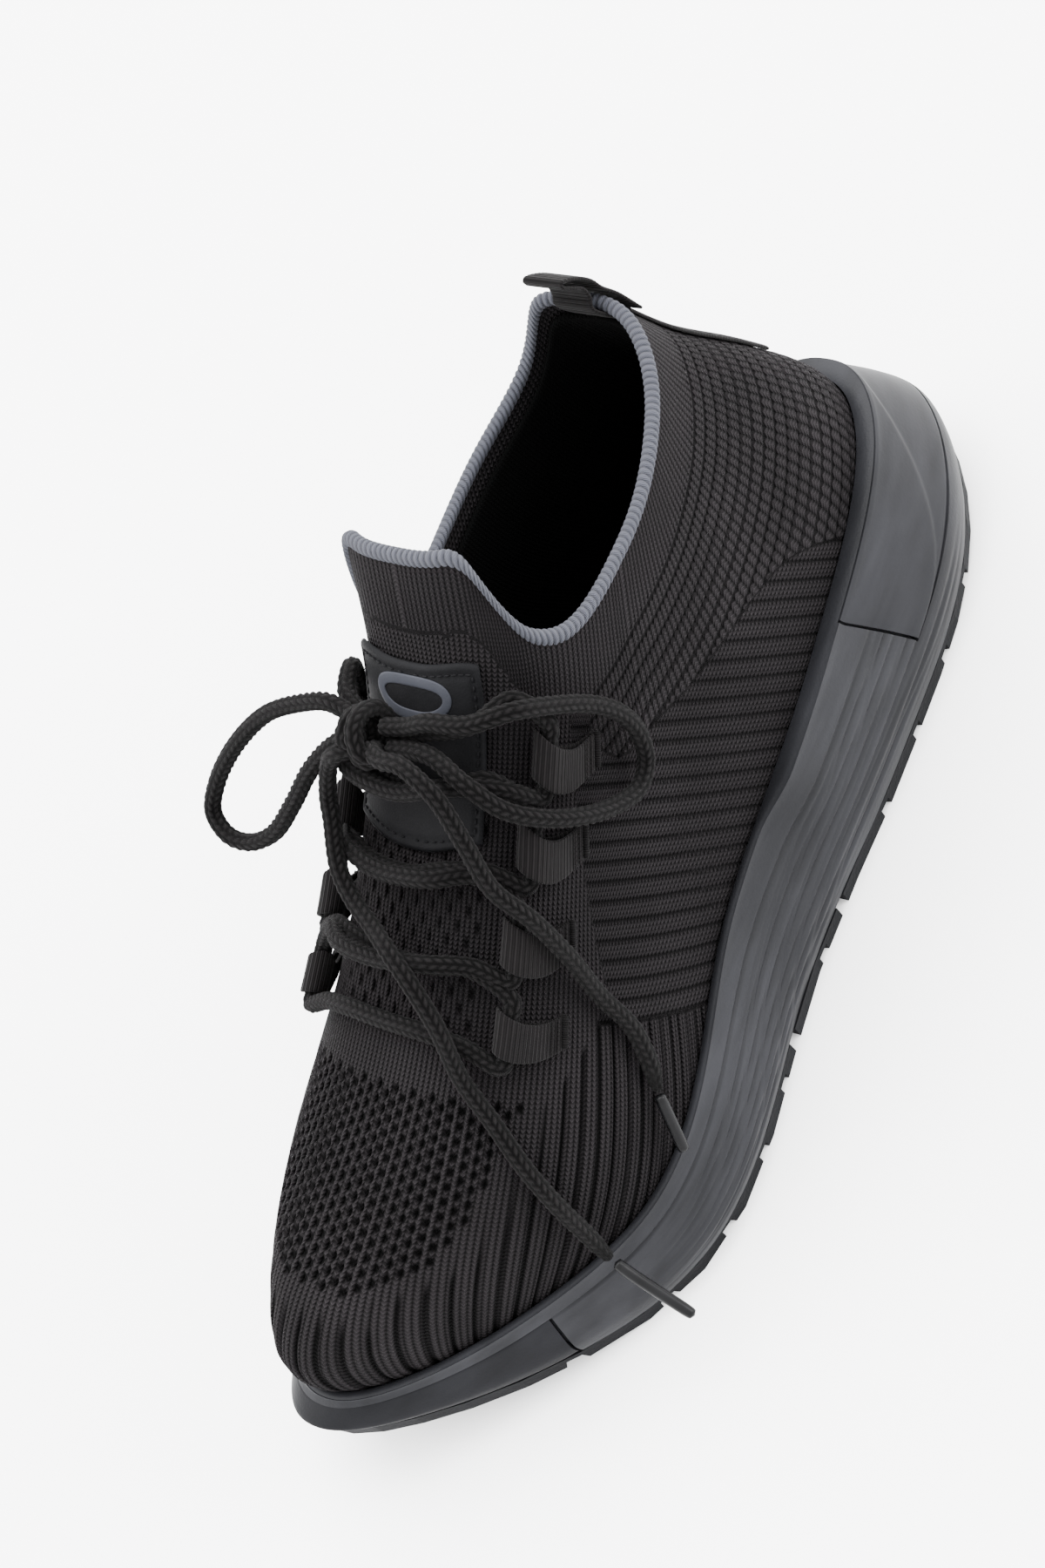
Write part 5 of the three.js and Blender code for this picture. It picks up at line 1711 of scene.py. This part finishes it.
class SHOE_OT_inside(Operator):
    """Lines the shoe, lays the sockliner and finishes the hidden boards"""

    bl_idname = "shoe.inside"
    bl_label = "Lining and sockliner"

    def execute(self, context):
        finish = knit_material("Lining", (0.0004, 0.0004, 0.00043), (0.001, 0.001, 0.001),
                               wale=1.0, course=0.8, strength=0.5)
        angles = ring_angles(240)
        a, h = np.meshgrid(angles, np.linspace(0.04, 0.965, 60))
        depth = lerp(LINING_DEPTH, COLLAR_KNIT + 1.4, smooth(h, 0.6, 0.9))
        outside, inside = shell(a, h, depth), shell(a, h, depth + LINING)
        lining = lay_grid("lining_cloth", np.concatenate([outside, inside[::-1], outside[:1]]))
        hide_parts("lining")
        give(lining, finish)
        low, high = board_edge(angles, 7, 1.8), board_edge(angles, 6.2, 6)
        under = [lerp(spine(low), low, t) for t in (0, 0.5, 0.95)]
        wall = [lerp(low, high, t) for t in (0, 0.2, 0.5, 0.8)]
        top = [lerp(high, spine(high), t) for t in (0.03, 0.08, 0.2, 0.4, 0.7, 1)]
        for ring, rise in zip(top, (0.3, 0.2, -0.3, -0.7, -1, -1)):
            ring[..., 2] += rise
        sockliner = lay_grid("sockliner_foam", np.stack(under + wall + top))
        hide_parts("insole")
        give(sockliner, finish)
        board = moulded_material("Fibre board", (0.02, 0.019, 0.017), (0.04, 0.037, 0.033),
                                 roughness=0.8, shine=0.1, grain=700, grain_strength=0.6, flow=0.5)
        for node in ("heel_counter", "toe_puff", "strobel_board"):
            give(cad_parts[node], board)
        return {"FINISHED"}


LENS = 70.47
SENSOR_HEIGHT = 36
CAMERA_PLACE = (0.461222, -0.176832, 0.595562)
CAMERA_RIGHT = (0.73894, 0.4406, -0.50974)
CAMERA_UP = (-0.19315, 0.86332, 0.46622)
# Each softbox: its place, its size and its share of the main light's power.
SOFTBOXES = [
    ("Overhead softbox", (-0.5, 0.5, 1.9), 2.2, 1),
    ("Heel side light", (1.5, 1.2, 0.8), 1.2, 0.4),
    ("Toe side fill", (-1.3, -1.2, 1.3), 1.4, 0.25),
]
LIT_PLACE = (0, 0, 0.05)
SURROUNDING_LIGHT = 5.4
FLOOR_HALF_SIZE = 6


class SHOE_OT_stage(Operator):
    """Sets the camera, the pale floor and the soft studio light"""

    bl_idname = "shoe.stage"
    bl_label = "Camera, floor and light"

    def execute(self, context):
        scene = context.scene
        lens = bpy.data.cameras.new("Camera")
        lens.lens = LENS
        lens.sensor_fit = "VERTICAL"
        lens.sensor_height = SENSOR_HEIGHT
        camera = bpy.data.objects.new("Camera", lens)
        right, up = Vector(CAMERA_RIGHT), Vector(CAMERA_UP)
        turn = Matrix((right, up, right.cross(up))).transposed().to_4x4()
        camera.matrix_world = Matrix.Translation(CAMERA_PLACE) @ turn
        scene.collection.objects.link(camera)
        scene.camera = camera

        bm = bmesh.new()
        bmesh.ops.create_grid(bm, x_segments=1, y_segments=1, size=FLOOR_HALF_SIZE)
        mesh = bpy.data.meshes.new("floor")
        bm.to_mesh(mesh)
        bm.free()
        floor = bpy.data.objects.new("floor", mesh)
        scene.collection.objects.link(floor)
        give(floor, self.floor_material())

        for name, place, size, share in SOFTBOXES:
            self.area(name, place, size, share * scene.shoe_settings.light)
        world = bpy.data.worlds.new("Studio")
        world.use_nodes = True
        surroundings = world.node_tree.nodes["Background"]
        surroundings.inputs["Color"].default_value = (1, 1, 1, 1)
        surroundings.inputs["Strength"].default_value = SURROUNDING_LIGHT
        scene.world = world
        return {"FINISHED"}

    def area(self, name, place, size, power):
        """A square softbox that faces the shoe."""
        light = bpy.data.lights.new(name, "AREA")
        light.size = size
        light.energy = power
        lamp = bpy.data.objects.new(name, light)
        lamp.location = place
        towards = Vector(LIT_PLACE) - Vector(place)
        lamp.rotation_euler = towards.to_track_quat("-Z", "Y").to_euler()
        bpy.context.scene.collection.objects.link(lamp)

    def floor_material(self):
        """Plain pale paper."""
        material = bpy.data.materials.new("Studio floor")
        material.use_nodes = True
        tree = material.node_tree
        tree.nodes.clear()
        output = tree.nodes.new("ShaderNodeOutputMaterial")
        output.label = "Surface of the floor"
        output.location = (400, 0)
        surface = tree.nodes.new("ShaderNodeBsdfPrincipled")
        surface.label = "Matt paper"
        surface.location = (100, 0)
        surface.inputs["Base Color"].default_value = (0.86, 0.86, 0.865, 1)
        surface.inputs["Roughness"].default_value = 0.9
        tree.links.new(surface.outputs["BSDF"], output.inputs["Surface"])
        return material


class SHOE_PT_panel(Panel):
    """Lists the settings and the steps"""

    bl_label = "Running Shoe"
    bl_idname = "SHOE_PT_panel"
    bl_space_type = "VIEW_3D"
    bl_region_type = "UI"
    bl_category = "Shoe"

    def draw(self, context):
        layout = self.layout
        settings = context.scene.shoe_settings
        for name in ("knit_colour", "binding_colour", "lace_colour", "sole_colour", "rib_depth",
                     "hole_depth", "around", "light"):
            layout.prop(settings, name)
        for operator in STEPS:
            layout.operator(operator.bl_idname)


STEPS = (SHOE_OT_stage, SHOE_OT_lace, SHOE_OT_loops, SHOE_OT_sole, SHOE_OT_upper, SHOE_OT_collar,
         SHOE_OT_patch, SHOE_OT_inside)
CLASSES = (ShoeSettings,) + STEPS + (SHOE_PT_panel,)


def register():
    for item in CLASSES:
        bpy.utils.register_class(item)
    bpy.types.Scene.shoe_settings = PointerProperty(type=ShoeSettings)


def unregister():
    del bpy.types.Scene.shoe_settings
    for item in reversed(CLASSES):
        bpy.utils.unregister_class(item)


def main():
    """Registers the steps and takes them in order."""
    register()
    bpy.ops.shoe.stage()
    bpy.ops.shoe.lace()
    bpy.ops.shoe.loops()
    bpy.ops.shoe.sole()
    bpy.ops.shoe.upper()
    bpy.ops.shoe.collar()
    bpy.ops.shoe.patch()
    bpy.ops.shoe.inside()
    bpy.context.view_layer.update()


if __name__ == "__main__":
    main()
